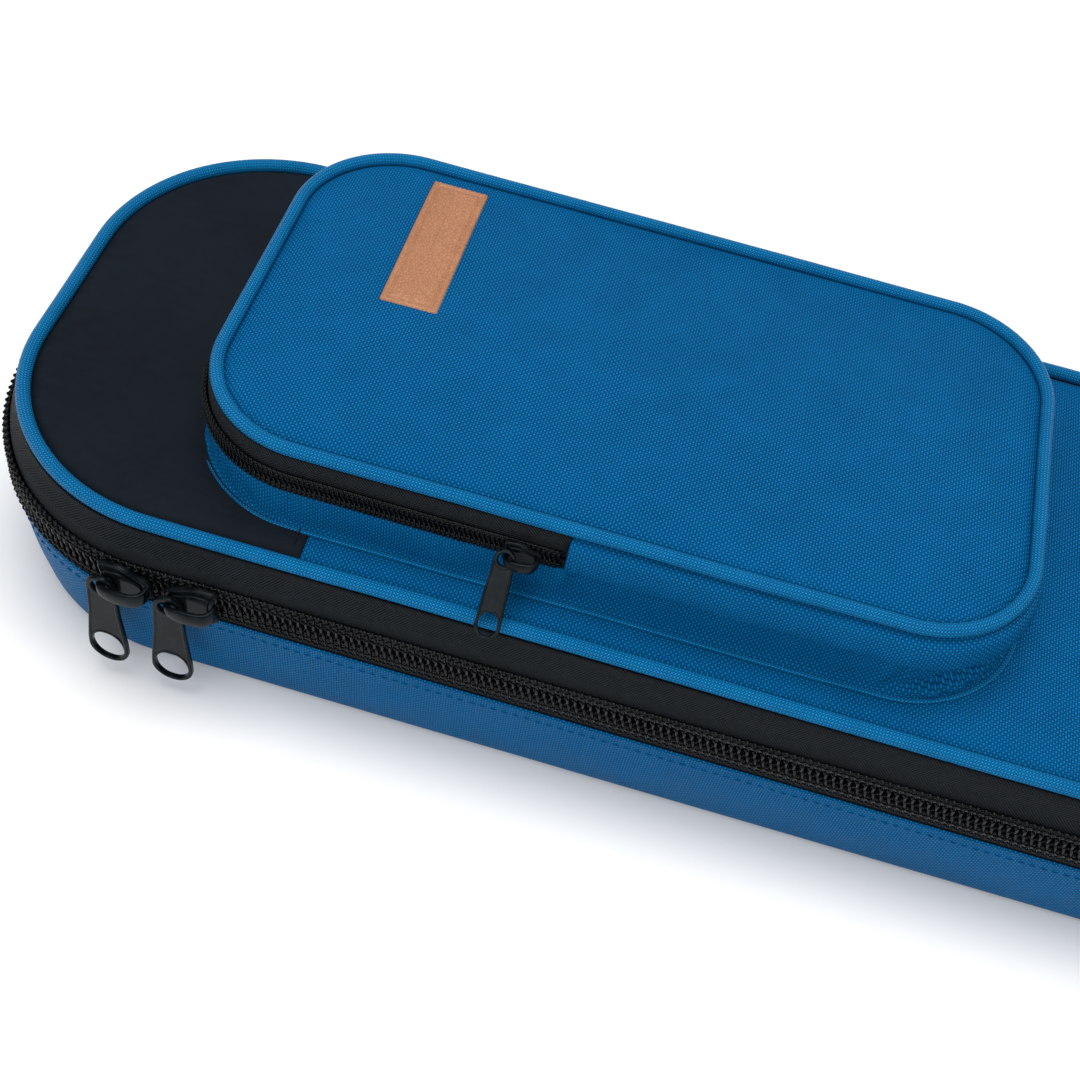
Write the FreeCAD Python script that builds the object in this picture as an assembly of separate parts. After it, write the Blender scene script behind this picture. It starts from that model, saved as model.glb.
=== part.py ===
import FreeCAD, Part
import math
import os
from collections import namedtuple
from FreeCAD import Vector

# Soft carry case, millimetres. The origin is the centre of the flat underside, +X runs along the case,
# -Y is the side with the zipper pulls, +Y is the spine that the lid hinges on, and +Z is up.

# Driving dimensions: the case
CASE_LENGTH = 400.0          # over the lid's piping
CASE_WIDTH = 144.0           # over the lid's piping
CORNER_RADIUS = 51.5         # of the piping, in plan
CASE_HEIGHT = 58.0           # underside to the top face of the lid
LID_DEPTH = 17.15            # lid's top face to the middle of the main zipper
FABRIC = 1.2                 # coated outer fabric
TAPE = 0.8                   # zipper tape
LINING = 0.8
BOARD = 1.5                  # stiffener boards
WALL_FOAM = 4.0
FLOOR_FOAM = 6.0
LID_FOAM = 5.0
FOOT_GROW = 1.0              # wall's foot stands this far outside the piping line
RIM_GROW = 5.0               # and its top this far
PIPING_WIDTH = 4.0
BINDING = 2.0                # height of the inner binding on the base's rim
BINDING_INSET = 0.5          # binding's outer edge inside the wall's cloth
PAD_INSET = 0.5              # padding's edge inside the piping's seam, in the lid and the flap
PIPING_ROUND = 0.95          # share of the piping's half width that its rounding takes
END_PANEL = 91.0             # length of each smooth panel at the lid's ends
SPINE_HALF = 126.5           # half the length of the fabric hinge

# Driving dimensions: the main zipper
ZIP_GAP = 1.4                # free slit between the two coils, where the sliders' necks run
COIL_WIDTH = 5.2             # one coil, up and down
COIL_DEPTH = 1.8
COIL_GROW = 6.5              # outer face of the coils, outside the piping line
LOWER_TAPE = 3.45            # tape showing between the base's wall and its coil

# Driving dimensions: the pocket on the lid
POCKET_LENGTH = 212.0
POCKET_WIDTH = 115.0
POCKET_CORNER = 29.0
POCKET_END_GAP = 56.0        # lid's left end to the pocket's left end
POCKET_HEIGHT = 26.0         # lid's top face to the pocket's top face
POCKET_PIPING = 3.6
POCKET_FOOT_GROW = 2.5
POCKET_COIL_GROW = 3.5
POCKET_COIL_WIDTH = 2.6
POCKET_COIL_DEPTH = 1.3
POCKET_GAP = 1.2
POCKET_ZIP_HEIGHT = 16.8     # middle of the pocket's zipper above the lid's top face
POCKET_LOWER_TAPE = 0.6
POCKET_FOAM = 3.0
POCKET_COIL_STEP = 0.5       # how far the pocket's coil stands out from the cloth below it
FOLD_FROM_END = 156.0        # lid's left end to the line that the pocket's flap folds about
FLAP_CLEARANCE = 0.3

# Driving dimensions: label, handle, pulls
LABEL = (16.0, 52.0, 1.0)    # along the case, across it, thickness
LABEL_FROM_END = 88.5
LABEL_NEAR_EDGE = -2.0
STRAP_WIDTH = 20.0
STRAP_THICKNESS = 2.5
STRAP_FOOT = 2.0             # webbing's lower edge above the floor
STRAP_FLAT_GROW = 4.0        # webbing's inner face outside the piping line where it is sewn down
STRAP_REACH = 16.0           # how far the middle of the handle stands off from that
STRAP_SEWN = 26.0            # length of each sewn end
STRAP_RISE = 24.0            # length of each sloping stretch
GRIP_LENGTH = 70.0
GRIP_WALL = 2.5
GRIP_LIP = 1.5               # grip's reach above and below the webbing
GRIP_EDGE = 1.4              # radius of the grip's long edges
GRIP_SLACK = 4.0             # straight webbing beyond each end of the grip
RIGHT_SLIDER_FROM_END = 66.0
LEFT_SLIDER_FROM_END = 48.0
POCKET_SLIDER_FROM_END = 145.0
SLIDER_CLEARANCE = 0.4       # slider's outer plate to the coil
NECK_CLEARANCE = 0.3         # neck to each coil
INNER_CLEARANCE = 1.0        # inner plate to the tape, so that the lid can lift past it
PLATE_CORNER = 0.3           # outer plate's corner radius, as a share of its width
INNER_PLATE = 0.8            # inner plate's thickness, as a share of the outer plate's

Slider = namedtuple(
    "Slider", "length width plate inner_length inner_width neck foot_at leg bar bridge_width clear"
)
MAIN_SLIDER = Slider(
    length=15.0, width=13.2, plate=1.8, inner_length=12.0, inner_width=12.0, neck=5.0,
    foot_at=5.6, leg=2.2, bar=1.6, bridge_width=5.0, clear=3.4,
)
POCKET_SLIDER = Slider(
    length=10.0, width=8.0, plate=1.2, inner_length=8.0, inner_width=6.6, neck=3.2,
    foot_at=3.6, leg=1.5, bar=1.2, bridge_width=3.2, clear=4.6,
)
Tab = namedtuple("Tab", "length eye_hole eye_rim foot_width thickness window window_height tilt")
MAIN_TAB = Tab(
    length=37.5, eye_hole=5.0, eye_rim=1.5, foot_width=11.4, thickness=1.6, window=9.2,
    window_height=11.4, tilt=0.0,
)
POCKET_TAB = Tab(
    length=23.5, eye_hole=3.4, eye_rim=1.0, foot_width=6.6, thickness=1.2, window=4.9,
    window_height=6.2, tilt=38.0,
)
TAB_PLAY = 0.2               # least gap between a tab's eye and its post

# Worked out from those
ZIP_MIDDLE = CASE_HEIGHT - LID_DEPTH
COIL_BOTTOM = ZIP_MIDDLE - ZIP_GAP / 2 - COIL_WIDTH
WALL_TOP = COIL_BOTTOM - LOWER_TAPE
COIL_TOP = ZIP_MIDDLE + ZIP_GAP / 2 + COIL_WIDTH
PIPING_BOTTOM = CASE_HEIGHT - PIPING_WIDTH / 2
LEFT_END = -CASE_LENGTH / 2
NEAR_SIDE = -CASE_WIDTH / 2
FOLD_X = LEFT_END + FOLD_FROM_END
POCKET_MIDDLE_X = LEFT_END + POCKET_END_GAP + POCKET_LENGTH / 2
POCKET_TOP = CASE_HEIGHT + POCKET_HEIGHT
POCKET_ZIP = CASE_HEIGHT + POCKET_ZIP_HEIGHT
GUSSET_TOP = POCKET_ZIP - POCKET_GAP / 2 - POCKET_COIL_WIDTH - POCKET_LOWER_TAPE
POCKET_PIPING_BOTTOM = POCKET_TOP - POCKET_PIPING / 2
LINING_BOTTOM = CASE_HEIGHT - FABRIC - BOARD - LID_FOAM - LINING
FAR = 1000.0                 # larger than the object, for the blocks that divide it


def rounded_outline(length, width, radius, middle_x, z):
    """A closed wire: a rectangle with round corners, flat at height z."""
    a, b = length / 2 - radius, width / 2 - radius
    edges = []
    corners = [(a, b, 0), (-a, b, 90), (-a, -b, 180), (a, -b, 270)]
    ends = []
    for x, y, start in corners:
        points = []
        for turn in (0, 45, 90):
            angle = math.radians(start + turn)
            points.append(Vector(middle_x + x + radius * math.cos(angle), y + radius * math.sin(angle), z))
        ends.append(points)
    for points, following in zip(ends, ends[1:] + ends[:1]):
        edges.append(Part.Arc(*points).toShape())
        edges.append(Part.LineSegment(points[2], following[0]).toShape())
    return Part.Wire(edges)


def case_outline(grow, z):
    return rounded_outline(CASE_LENGTH + 2 * grow, CASE_WIDTH + 2 * grow, CORNER_RADIUS + grow, 0.0, z)


def pocket_outline(grow, z):
    return rounded_outline(
        POCKET_LENGTH + 2 * grow, POCKET_WIDTH + 2 * grow, POCKET_CORNER + grow, POCKET_MIDDLE_X, z
    )


def plug(outline, z0, grow0, z1, grow1):
    """The solid inside an outline from z0 to z1, growing evenly from grow0 to grow1."""
    if abs(grow0 - grow1) < 1e-9:
        return Part.Face(outline(grow0, z0)).extrude(Vector(0, 0, z1 - z0))
    return Part.makeLoft([outline(grow0, z0), outline(grow1, z1)], True, True)


def ring(outline, z0, grow0, z1, grow1, thickness):
    """A closed wall whose outer face grows from grow0 to grow1."""
    outer = plug(outline, z0, grow0, z1, grow1)
    return outer.cut(plug(outline, z0, grow0 - thickness, z1, grow1 - thickness))


def block(x0, x1, y0, y1, z0, z1):
    return Part.makeBox(x1 - x0, y1 - y0, z1 - z0, Vector(x0, y0, z0))


SPINE_BLOCK = block(-SPINE_HALF, SPINE_HALF, 0, FAR, -FAR, FAR)
FLAP_BLOCK = block(-FAR, FOLD_X - FLAP_CLEARANCE, -FAR, FAR, -FAR, FAR)
REAR_BLOCK = block(FOLD_X, FAR, -FAR, FAR, -FAR, FAR)
parts = {}


def add(name, shape):
    """Keeps a sub-part, as one clean solid where it is one."""
    shape = shape.removeSplitter()
    parts[name] = shape.Solids[0] if len(shape.Solids) == 1 else Part.makeCompound(shape.Solids)


def wall_grow(z):
    """How far the base's wall stands outside the piping line at height z."""
    return FOOT_GROW + (RIM_GROW - FOOT_GROW) * z / WALL_TOP


def wall_ring(z0, z1, inset, thickness):
    return ring(case_outline, z0, wall_grow(z0) - inset, z1, wall_grow(z1) - inset, thickness)


def floor_sheet(z0, thickness, inset):
    """A sheet that fills the base's wall, inset from its outer face, at height z0."""
    z1 = z0 + thickness
    return plug(case_outline, z0, wall_grow(z0) - inset, z1, wall_grow(z1) - inset)


def make_base():
    add("base_wall_fabric", wall_ring(0, WALL_TOP, 0, FABRIC))
    add("base_floor_fabric", floor_sheet(0, FABRIC, FABRIC))
    add("base_floor_board", floor_sheet(FABRIC, BOARD, FABRIC))
    foam_bottom = FABRIC + BOARD
    add("base_wall_foam", wall_ring(foam_bottom, WALL_TOP, FABRIC, WALL_FOAM))
    add("base_floor_foam", floor_sheet(foam_bottom, FLOOR_FOAM, FABRIC + WALL_FOAM))
    lining_bottom = foam_bottom + FLOOR_FOAM
    add("base_floor_lining", floor_sheet(lining_bottom, LINING, FABRIC + WALL_FOAM))
    add("base_wall_lining", wall_ring(lining_bottom + LINING, WALL_TOP, FABRIC + WALL_FOAM, LINING))
    binding_inset = FABRIC + BINDING_INSET
    binding_width = WALL_FOAM + LINING - BINDING_INSET
    rim = RIM_GROW - binding_inset
    add("base_rim_binding", ring(case_outline, WALL_TOP, rim, WALL_TOP + BINDING, rim, binding_width))


def make_main_zipper():
    tape_grow = COIL_GROW - COIL_DEPTH
    lower = ring(case_outline, WALL_TOP, tape_grow, ZIP_MIDDLE - ZIP_GAP / 2, tape_grow, TAPE)
    add("base_zip_tape", lower.cut(SPINE_BLOCK))
    lower_coil = ring(case_outline, COIL_BOTTOM, COIL_GROW, COIL_BOTTOM + COIL_WIDTH, COIL_GROW, COIL_DEPTH)
    add("base_zip_coil", lower_coil.cut(SPINE_BLOCK))
    upper_bottom = ZIP_MIDDLE + ZIP_GAP / 2
    upright = ring(case_outline, upper_bottom, tape_grow, COIL_TOP, tape_grow, TAPE)
    leaning = ring(case_outline, COIL_TOP, tape_grow, PIPING_BOTTOM, PIPING_WIDTH / 2, TAPE)
    add("lid_zip_tape", upright.fuse(leaning).cut(SPINE_BLOCK))
    upper_coil = ring(case_outline, upper_bottom, COIL_GROW, COIL_TOP, COIL_GROW, COIL_DEPTH)
    add("lid_zip_coil", upper_coil.cut(SPINE_BLOCK))


def make_spine():
    """The fabric hinge, in two halves that meet at the fold."""
    half_slit = ZIP_GAP / 4
    lower = ring(case_outline, WALL_TOP, RIM_GROW, ZIP_MIDDLE - half_slit, COIL_GROW, FABRIC)
    add("spine_lower_half", lower.common(SPINE_BLOCK))
    upper = ring(case_outline, ZIP_MIDDLE + half_slit, COIL_GROW, PIPING_BOTTOM, PIPING_WIDTH / 2, FABRIC)
    add("spine_upper_half", upper.common(SPINE_BLOCK))


def make_lid():
    half = PIPING_WIDTH / 2
    piping = ring(case_outline, PIPING_BOTTOM, half, PIPING_BOTTOM + PIPING_WIDTH, half, PIPING_WIDTH)
    add("lid_piping", piping.makeFillet(half * PIPING_ROUND, top_edges(piping)))
    panel = plug(case_outline, CASE_HEIGHT - FABRIC, -half, CASE_HEIGHT, -half)
    seam = CASE_LENGTH / 2 - END_PANEL
    add("lid_panel_middle", panel.common(block(-seam, seam, -FAR, FAR, -FAR, FAR)))
    add("lid_panel_left_end", panel.common(block(-FAR, -seam, -FAR, FAR, -FAR, FAR)))
    add("lid_panel_right_end", panel.common(block(seam, FAR, -FAR, FAR, -FAR, FAR)))
    inset = -half - PAD_INSET
    board_bottom = CASE_HEIGHT - FABRIC - BOARD
    add("lid_board", plug(case_outline, board_bottom, inset, board_bottom + BOARD, inset))
    add("lid_foam", plug(case_outline, board_bottom - LID_FOAM, inset, board_bottom, inset))
    add("lid_lining", plug(case_outline, LINING_BOTTOM, inset, LINING_BOTTOM + LINING, inset))


def top_edges(shape):
    """The edges that lie in a shape's highest plane."""
    top = shape.BoundBox.ZMax
    return [e for e in shape.Edges if e.BoundBox.ZMin > top - 1e-6]


def make_pocket():
    half = POCKET_PIPING / 2
    tape_grow = POCKET_COIL_GROW - POCKET_COIL_DEPTH
    top_grow = POCKET_COIL_GROW - POCKET_COIL_STEP
    gusset = ring(pocket_outline, CASE_HEIGHT, POCKET_FOOT_GROW, GUSSET_TOP, top_grow, FABRIC)
    add("pocket_gusset", gusset)
    band = ring(pocket_outline, GUSSET_TOP, top_grow, POCKET_PIPING_BOTTOM, half, FABRIC)
    add("pocket_rear_band", band.common(REAR_BLOCK))
    coil_bottom = GUSSET_TOP + POCKET_LOWER_TAPE
    lower = ring(pocket_outline, GUSSET_TOP, tape_grow, coil_bottom + POCKET_COIL_WIDTH, tape_grow, TAPE)
    add("pocket_zip_tape_lower", lower.cut(REAR_BLOCK))
    lower_coil = ring(
        pocket_outline, coil_bottom, POCKET_COIL_GROW, coil_bottom + POCKET_COIL_WIDTH, POCKET_COIL_GROW,
        POCKET_COIL_DEPTH,
    )
    add("pocket_zip_coil_lower", lower_coil.cut(REAR_BLOCK))
    upper_bottom = POCKET_ZIP + POCKET_GAP / 2
    upper_top = upper_bottom + POCKET_COIL_WIDTH
    upright = ring(pocket_outline, upper_bottom, tape_grow, upper_top, tape_grow, TAPE)
    leaning = ring(pocket_outline, upper_top, tape_grow, POCKET_PIPING_BOTTOM, half, TAPE)
    add("pocket_zip_tape_upper", upright.fuse(leaning).common(FLAP_BLOCK))
    upper_coil = ring(
        pocket_outline, upper_bottom, POCKET_COIL_GROW, upper_top, POCKET_COIL_GROW, POCKET_COIL_DEPTH
    )
    add("pocket_zip_coil_upper", upper_coil.common(FLAP_BLOCK))
    piping = ring(
        pocket_outline, POCKET_PIPING_BOTTOM, half, POCKET_PIPING_BOTTOM + POCKET_PIPING, half, POCKET_PIPING
    )
    piping = piping.makeFillet(half * PIPING_ROUND, top_edges(piping))
    panel = plug(pocket_outline, POCKET_TOP - FABRIC, -half, POCKET_TOP, -half)
    foam_bottom = POCKET_TOP - FABRIC - POCKET_FOAM
    foam = plug(pocket_outline, foam_bottom, -half - PAD_INSET, POCKET_TOP - FABRIC, -half - PAD_INSET)
    for name, shape in (("piping", piping), ("top", panel), ("foam", foam)):
        add(f"pocket_{name}_front", shape.common(FLAP_BLOCK))
        add(f"pocket_{name}_rear", shape.common(REAR_BLOCK))
    length, width, thickness = LABEL
    x0 = LEFT_END + LABEL_FROM_END
    add("label_patch", block(x0, x0 + length, LABEL_NEAR_EDGE, LABEL_NEAR_EDGE + width, POCKET_TOP,
                             POCKET_TOP + thickness))


def slider_body(size, coil_depth, gap):
    """A slider at the origin: it travels along X, -Y is outwards, and y = 0 is the coils' outer face."""
    half = size.length / 2
    outer = -SLIDER_CLEARANCE
    plate = block(-half, half, outer - size.plate, outer, -size.width / 2, size.width / 2)
    upright = [e for e in plate.Edges if abs(e.BoundBox.YLength - size.plate) < 1e-6]
    plate = plate.makeFillet(size.width * PLATE_CORNER, upright)
    inner = coil_depth + TAPE + INNER_CLEARANCE
    half_inner = size.inner_length / 2
    inner_plate = block(-half_inner, half_inner, inner, inner + size.plate * INNER_PLATE,
                        -size.inner_width / 2, size.inner_width / 2)
    neck_half = gap / 2 - NECK_CLEARANCE
    neck = block(-size.neck / 2, size.neck / 2, outer, inner, -neck_half, neck_half)
    face = outer - size.plate
    bar_face = face - size.clear
    half_leg = size.leg / 2
    body = plate.fuse([inner_plate, neck])
    for x in (-size.foot_at, size.foot_at):
        post = Part.makeCylinder(half_leg, size.clear + size.bar, Vector(x, face, 0), Vector(0, -1, 0))
        body = body.fuse(post)
    narrow = block(-size.foot_at, 0, bar_face - size.bar, bar_face, -half_leg, half_leg)
    wide = block(0, size.foot_at + half_leg, bar_face - size.bar, bar_face, -size.bridge_width / 2,
                 size.bridge_width / 2)
    return body.fuse([narrow, wide])


def tab_plane(size):
    """How far outside the coils' face the middle of a hanging tab lies."""
    return -SLIDER_CLEARANCE - size.plate - size.clear / 2


def pull_tab(size, slider):
    """A pull tab hung by its eye on the slider's first post, tilted outwards where it rests on the lid."""
    radius = size.eye_hole / 2 + size.eye_rim
    tilt = math.radians(size.tilt)
    hole_height = size.eye_hole / 2 * math.cos(tilt) - size.thickness / 2 * math.sin(tilt)
    eye_z = slider.leg / 2 + TAB_PLAY - hole_height
    foot_z = eye_z + radius - size.length
    foot_radius = size.foot_width / 2
    shoulder_z = foot_z + foot_radius
    half = size.thickness / 2
    corners = [
        Vector(-radius, half, eye_z), Vector(radius, half, eye_z),
        Vector(foot_radius, half, shoulder_z), Vector(-foot_radius, half, shoulder_z),
    ]
    blank = Part.Face(Part.makePolygon(corners + corners[:1])).extrude(Vector(0, -size.thickness, 0))
    inwards = Vector(0, -1, 0)
    for z, r in ((eye_z, radius), (shoulder_z, foot_radius)):
        blank = blank.fuse(Part.makeCylinder(r, size.thickness, Vector(0, half, z), inwards))
    eye = Part.makeCylinder(size.eye_hole / 2, 2 * size.thickness, Vector(0, size.thickness, eye_z), inwards)
    window_half = size.window / 2
    straight = size.window_height - size.window
    window = block(-window_half, window_half, -size.thickness, size.thickness,
                   shoulder_z, shoulder_z + straight)
    for z in (shoulder_z, shoulder_z + straight):
        end = Part.makeCylinder(window_half, 2 * size.thickness, Vector(0, size.thickness, z), inwards)
        window = window.fuse(end)
    tab = blank.cut(eye.fuse(window))
    tab.rotate(Vector(0, 0, eye_z), Vector(-1, 0, 0), size.tilt)
    tab.translate(Vector(-slider.foot_at, tab_plane(slider), 0))
    return tab


def place(shape, x, y, z, turn=0.0):
    """Turns a slider or tab about +Z at its own origin, then moves it to its zipper."""
    shape.rotate(Vector(0, 0, 0), Vector(0, 0, 1), turn)
    shape.translate(Vector(x, y, z))
    return shape


def make_pulls():
    near_face = NEAR_SIDE - COIL_GROW
    pocket_face = -POCKET_WIDTH / 2 - POCKET_COIL_GROW
    corner_x = LEFT_END + CORNER_RADIUS
    corner_y = NEAR_SIDE + CORNER_RADIUS
    reach = CORNER_RADIUS + COIL_GROW
    turn = math.asin((LEFT_END + LEFT_SLIDER_FROM_END - corner_x) / reach)
    left_x = corner_x + reach * math.sin(turn)
    left_y = corner_y - reach * math.cos(turn)
    left = (left_x, left_y, ZIP_MIDDLE, math.degrees(turn))
    sets = (
        ("main_slider_right", MAIN_SLIDER, MAIN_TAB, COIL_DEPTH, ZIP_GAP,
         (LEFT_END + RIGHT_SLIDER_FROM_END, near_face, ZIP_MIDDLE)),
        ("main_slider_left", MAIN_SLIDER, MAIN_TAB, COIL_DEPTH, ZIP_GAP, left),
        ("pocket_slider", POCKET_SLIDER, POCKET_TAB, POCKET_COIL_DEPTH, POCKET_GAP,
         (LEFT_END + POCKET_SLIDER_FROM_END, pocket_face, POCKET_ZIP)),
    )
    for name, slider, tab, depth, gap, where in sets:
        add(name, place(slider_body(slider, depth, gap), *where))
        add(name.replace("slider", "pull_tab"), place(pull_tab(tab, slider), *where))


def handle_strap():
    """The webbing: sewn ends against the wall, sloping stretches, and a straight middle that stands off."""
    y0 = CASE_WIDTH / 2 + STRAP_FLAT_GROW
    middle = GRIP_LENGTH / 2 + GRIP_SLACK
    foot = middle + STRAP_RISE
    end = foot + STRAP_SEWN
    inner = [(-end, 0), (-foot, 0), (-middle, STRAP_REACH), (middle, STRAP_REACH), (foot, 0), (end, 0)]
    outer = [(x, y + STRAP_THICKNESS) for x, y in reversed(inner)]
    points = [Vector(x, y0 + y, STRAP_FOOT) for x, y in inner + outer]
    return Part.Face(Part.makePolygon(points + points[:1])).extrude(Vector(0, 0, STRAP_WIDTH))


def make_handle():
    strap = handle_strap()
    add("handle_webbing", strap)
    y0 = CASE_WIDTH / 2 + STRAP_FLAT_GROW
    top = STRAP_FOOT + STRAP_WIDTH
    wall = plug(case_outline, 0, FOOT_GROW, WALL_TOP, RIM_GROW)
    foot = GRIP_LENGTH / 2 + GRIP_SLACK + STRAP_RISE
    for name, x0 in (("left", -foot - STRAP_SEWN), ("right", foot)):
        patch = block(x0, x0 + STRAP_SEWN, y0 - STRAP_FLAT_GROW, y0, STRAP_FOOT, top)
        add(f"handle_anchor_{name}", patch.cut(wall))
    half = GRIP_LENGTH / 2
    near = y0 + STRAP_REACH - GRIP_WALL
    far = y0 + STRAP_REACH + STRAP_THICKNESS + GRIP_WALL
    grip = block(-half, half, near, far, STRAP_FOOT - GRIP_LIP, top + GRIP_LIP)
    along = [e for e in grip.Edges if e.BoundBox.XLength > GRIP_LENGTH - 1e-6]
    add("handle_grip", grip.makeFillet(GRIP_EDGE, along).cut(strap))


def main():
    make_base()
    make_main_zipper()
    make_spine()
    make_lid()
    make_pocket()
    make_pulls()
    make_handle()
    os.makedirs("parts", exist_ok=True)
    for name, shape in parts.items():
        shape.exportStep(f"parts/{name}.step")
    print(len(parts), "parts; hinge at y", CASE_WIDTH / 2 + COIL_GROW, "z", ZIP_MIDDLE,
          "; flap fold at x", FOLD_X - FLAP_CLEARANCE, "z", POCKET_PIPING_BOTTOM + POCKET_PIPING)


main()
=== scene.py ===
import math

import bmesh
import bpy
import numpy as np
from mathutils import Matrix, Vector, noise


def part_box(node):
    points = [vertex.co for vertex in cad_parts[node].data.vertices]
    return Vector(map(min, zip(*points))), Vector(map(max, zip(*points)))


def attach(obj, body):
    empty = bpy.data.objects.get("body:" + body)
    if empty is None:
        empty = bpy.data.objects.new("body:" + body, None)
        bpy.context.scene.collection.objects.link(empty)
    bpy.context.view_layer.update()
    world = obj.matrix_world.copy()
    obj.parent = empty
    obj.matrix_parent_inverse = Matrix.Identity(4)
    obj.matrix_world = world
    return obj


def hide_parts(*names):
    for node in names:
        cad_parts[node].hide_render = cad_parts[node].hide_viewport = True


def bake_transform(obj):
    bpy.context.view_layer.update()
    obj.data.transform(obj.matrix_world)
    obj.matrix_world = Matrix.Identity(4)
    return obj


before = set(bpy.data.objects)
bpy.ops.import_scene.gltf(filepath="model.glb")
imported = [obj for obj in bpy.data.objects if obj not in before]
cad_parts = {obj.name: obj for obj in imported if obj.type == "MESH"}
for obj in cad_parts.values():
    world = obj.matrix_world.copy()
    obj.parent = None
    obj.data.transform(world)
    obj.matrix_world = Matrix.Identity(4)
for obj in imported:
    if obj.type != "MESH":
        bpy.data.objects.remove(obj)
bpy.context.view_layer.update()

# Sizes are in metres and places are in the CAD frame: +X along the case, -Y its opening side, +Z up.
MM = 0.001

# The camera stands at the photograph's viewing angle.
CAMERA_FROM_LEFT = 170.0 * MM        # along the case from the lid's left end
CAMERA_OUT = 297.5 * MM              # in front of the case's long middle line
CAMERA_UP = 324.2 * MM               # above the lid's top face
CAMERA_RIGHT = Vector((0.961, 0.245, 0.130))
CAMERA_DOWN = Vector((0.272, -0.748, -0.605))
CAMERA_LENS = 53.1                   # on a 36 mm sensor

# Read from the frame
PIPING_LOW, PIPING_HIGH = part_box("lid_piping")
POCKET_LOW, POCKET_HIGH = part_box("pocket_piping_rear")
FLAP_LOW, FLAP_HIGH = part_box("pocket_piping_front")
PIPING_RADIUS = (PIPING_HIGH.z - PIPING_LOW.z) / 2
POCKET_PIPING_RADIUS = (POCKET_HIGH.z - POCKET_LOW.z) / 2
LID_TOP = (PIPING_HIGH.z + PIPING_LOW.z) / 2
POCKET_TOP = (POCKET_HIGH.z + POCKET_LOW.z) / 2
WALL_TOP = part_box("base_wall_fabric")[1].z
LOWER_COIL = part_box("base_zip_coil")
UPPER_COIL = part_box("lid_zip_coil")
ZIP_MIDDLE = (LOWER_COIL[1].z + UPPER_COIL[0].z) / 2
POCKET_LOWER_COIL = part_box("pocket_zip_coil_lower")
POCKET_UPPER_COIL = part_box("pocket_zip_coil_upper")
POCKET_ZIP = (POCKET_LOWER_COIL[1].z + POCKET_UPPER_COIL[0].z) / 2
SPINE_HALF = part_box("spine_lower_half")[1].x
FOLD_X = FLAP_HIGH.x
PANEL_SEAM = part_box("lid_panel_middle")[1].x

CASE_CORNER = 51.5 * MM              # radius of the lid's piping in plan
POCKET_CORNER = 29.0 * MM
PATH_STEP = 2.5 * MM                 # spacing of the mesh along an outline
CLOTH = 1.2 * MM                     # thickness of the panels' cloth
MAIN_COIL_OUT = 6.5 * MM             # how far each zipper's coil stands out from its outline
POCKET_COIL_OUT = 3.5 * MM
SLIDERS_X = -142 * MM                # between the two main sliders where they rest
SEAM_STITCH_INSET = 2.6 * MM         # from a panel's seam to its stitches
SEAM_STITCH_HALF = 68 * MM           # half the length of a seam's row of stitches


def smooth_step(x):
    x = np.clip(x, 0.0, 1.0)
    return x * x * (3 - 2 * x)


def squared(x, power):
    """Bends a sine or cosine so that the round it draws comes nearer to a rectangle."""
    return np.sign(x) * np.abs(x) ** power


def turns(count):
    """Evenly spaced angles all the way round."""
    return np.arange(count) * 2 * math.pi / count


# ---------------------------------------------------------------- outlines and meshes


class Outline:
    """A rounded rectangle in plan. Its length is walked anticlockwise from the middle of the far side."""

    def __init__(self, low, high, corner):
        self.middle = np.array([(low.x + high.x) / 2, (low.y + high.y) / 2])
        self.half = np.array([(high.x - low.x) / 2, (high.y - low.y) / 2])
        self.corner = corner
        self.straight = self.half - corner
        quarter = math.pi / 2 * corner
        a, b = self.straight
        self.runs = [a, quarter, 2 * b, quarter, 2 * a, quarter, 2 * b, quarter, a]
        self.ends = np.cumsum(self.runs)
        self.length = self.ends[-1]

    def at(self, s):
        """Places and outward directions at distances s along the outline."""
        s = np.mod(np.asarray(s, float), self.length)
        a, b = self.straight
        r = self.corner
        place, out = np.zeros((len(s), 2)), np.zeros((len(s), 2))
        sides = [((0, b + r), (-1, 0)), ((-a - r, b), (0, -1)), ((-a, -b - r), (1, 0)),
                 ((a + r, -b), (0, 1)), ((a, b + r), (-1, 0))]
        corners = [((-a, b), 90), ((-a, -b), 180), ((a, -b), 270), ((a, b), 0)]
        start = 0.0
        for k, run in enumerate(self.runs):
            here = (s >= start) & (s <= start + run)
            along = s[here] - start
            if k % 2 == 0:
                origin, way = sides[k // 2]
                place[here] = np.array(origin) + np.outer(along, way)
                out[here] = (way[1], -way[0])
            else:
                origin, first = corners[k // 2]
                angle = math.radians(first) + along / r
                out[here] = np.stack([np.cos(angle), np.sin(angle)], 1)
                place[here] = np.array(origin) + r * out[here]
            start += run
        return place + self.middle, out

    def stations(self, start=0.0, end=None, step=PATH_STEP):
        """Even distances from start to end, or all the way round, without repeating the first."""
        if end is None:
            count = int(round(self.length / step))
            return np.arange(count) * self.length / count
        count = max(2, int(round((end - start) / step)) + 1)
        return np.linspace(start, end, count)


def piping_outline(low, high, radius, corner):
    """The middle line of a piping, from its box and its own radius."""
    inset = Vector((radius, radius, 0))
    return Outline(low + inset, high - inset, corner)


CASE = piping_outline(PIPING_LOW, PIPING_HIGH, PIPING_RADIUS, CASE_CORNER)
POCKET = piping_outline(FLAP_LOW, POCKET_HIGH, POCKET_PIPING_RADIUS, POCKET_CORNER)

# Distances along the outlines: the main zipper's ends, and where the flap's fold crosses the pocket's
# outline on its near side and on its far side.
ZIP_START = SPINE_HALF
ZIP_END = CASE.length - SPINE_HALF
POCKET_FRONT = (POCKET.length / 2 + (FOLD_X - POCKET.middle[0]), POCKET.middle[0] - FOLD_X)


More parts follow.
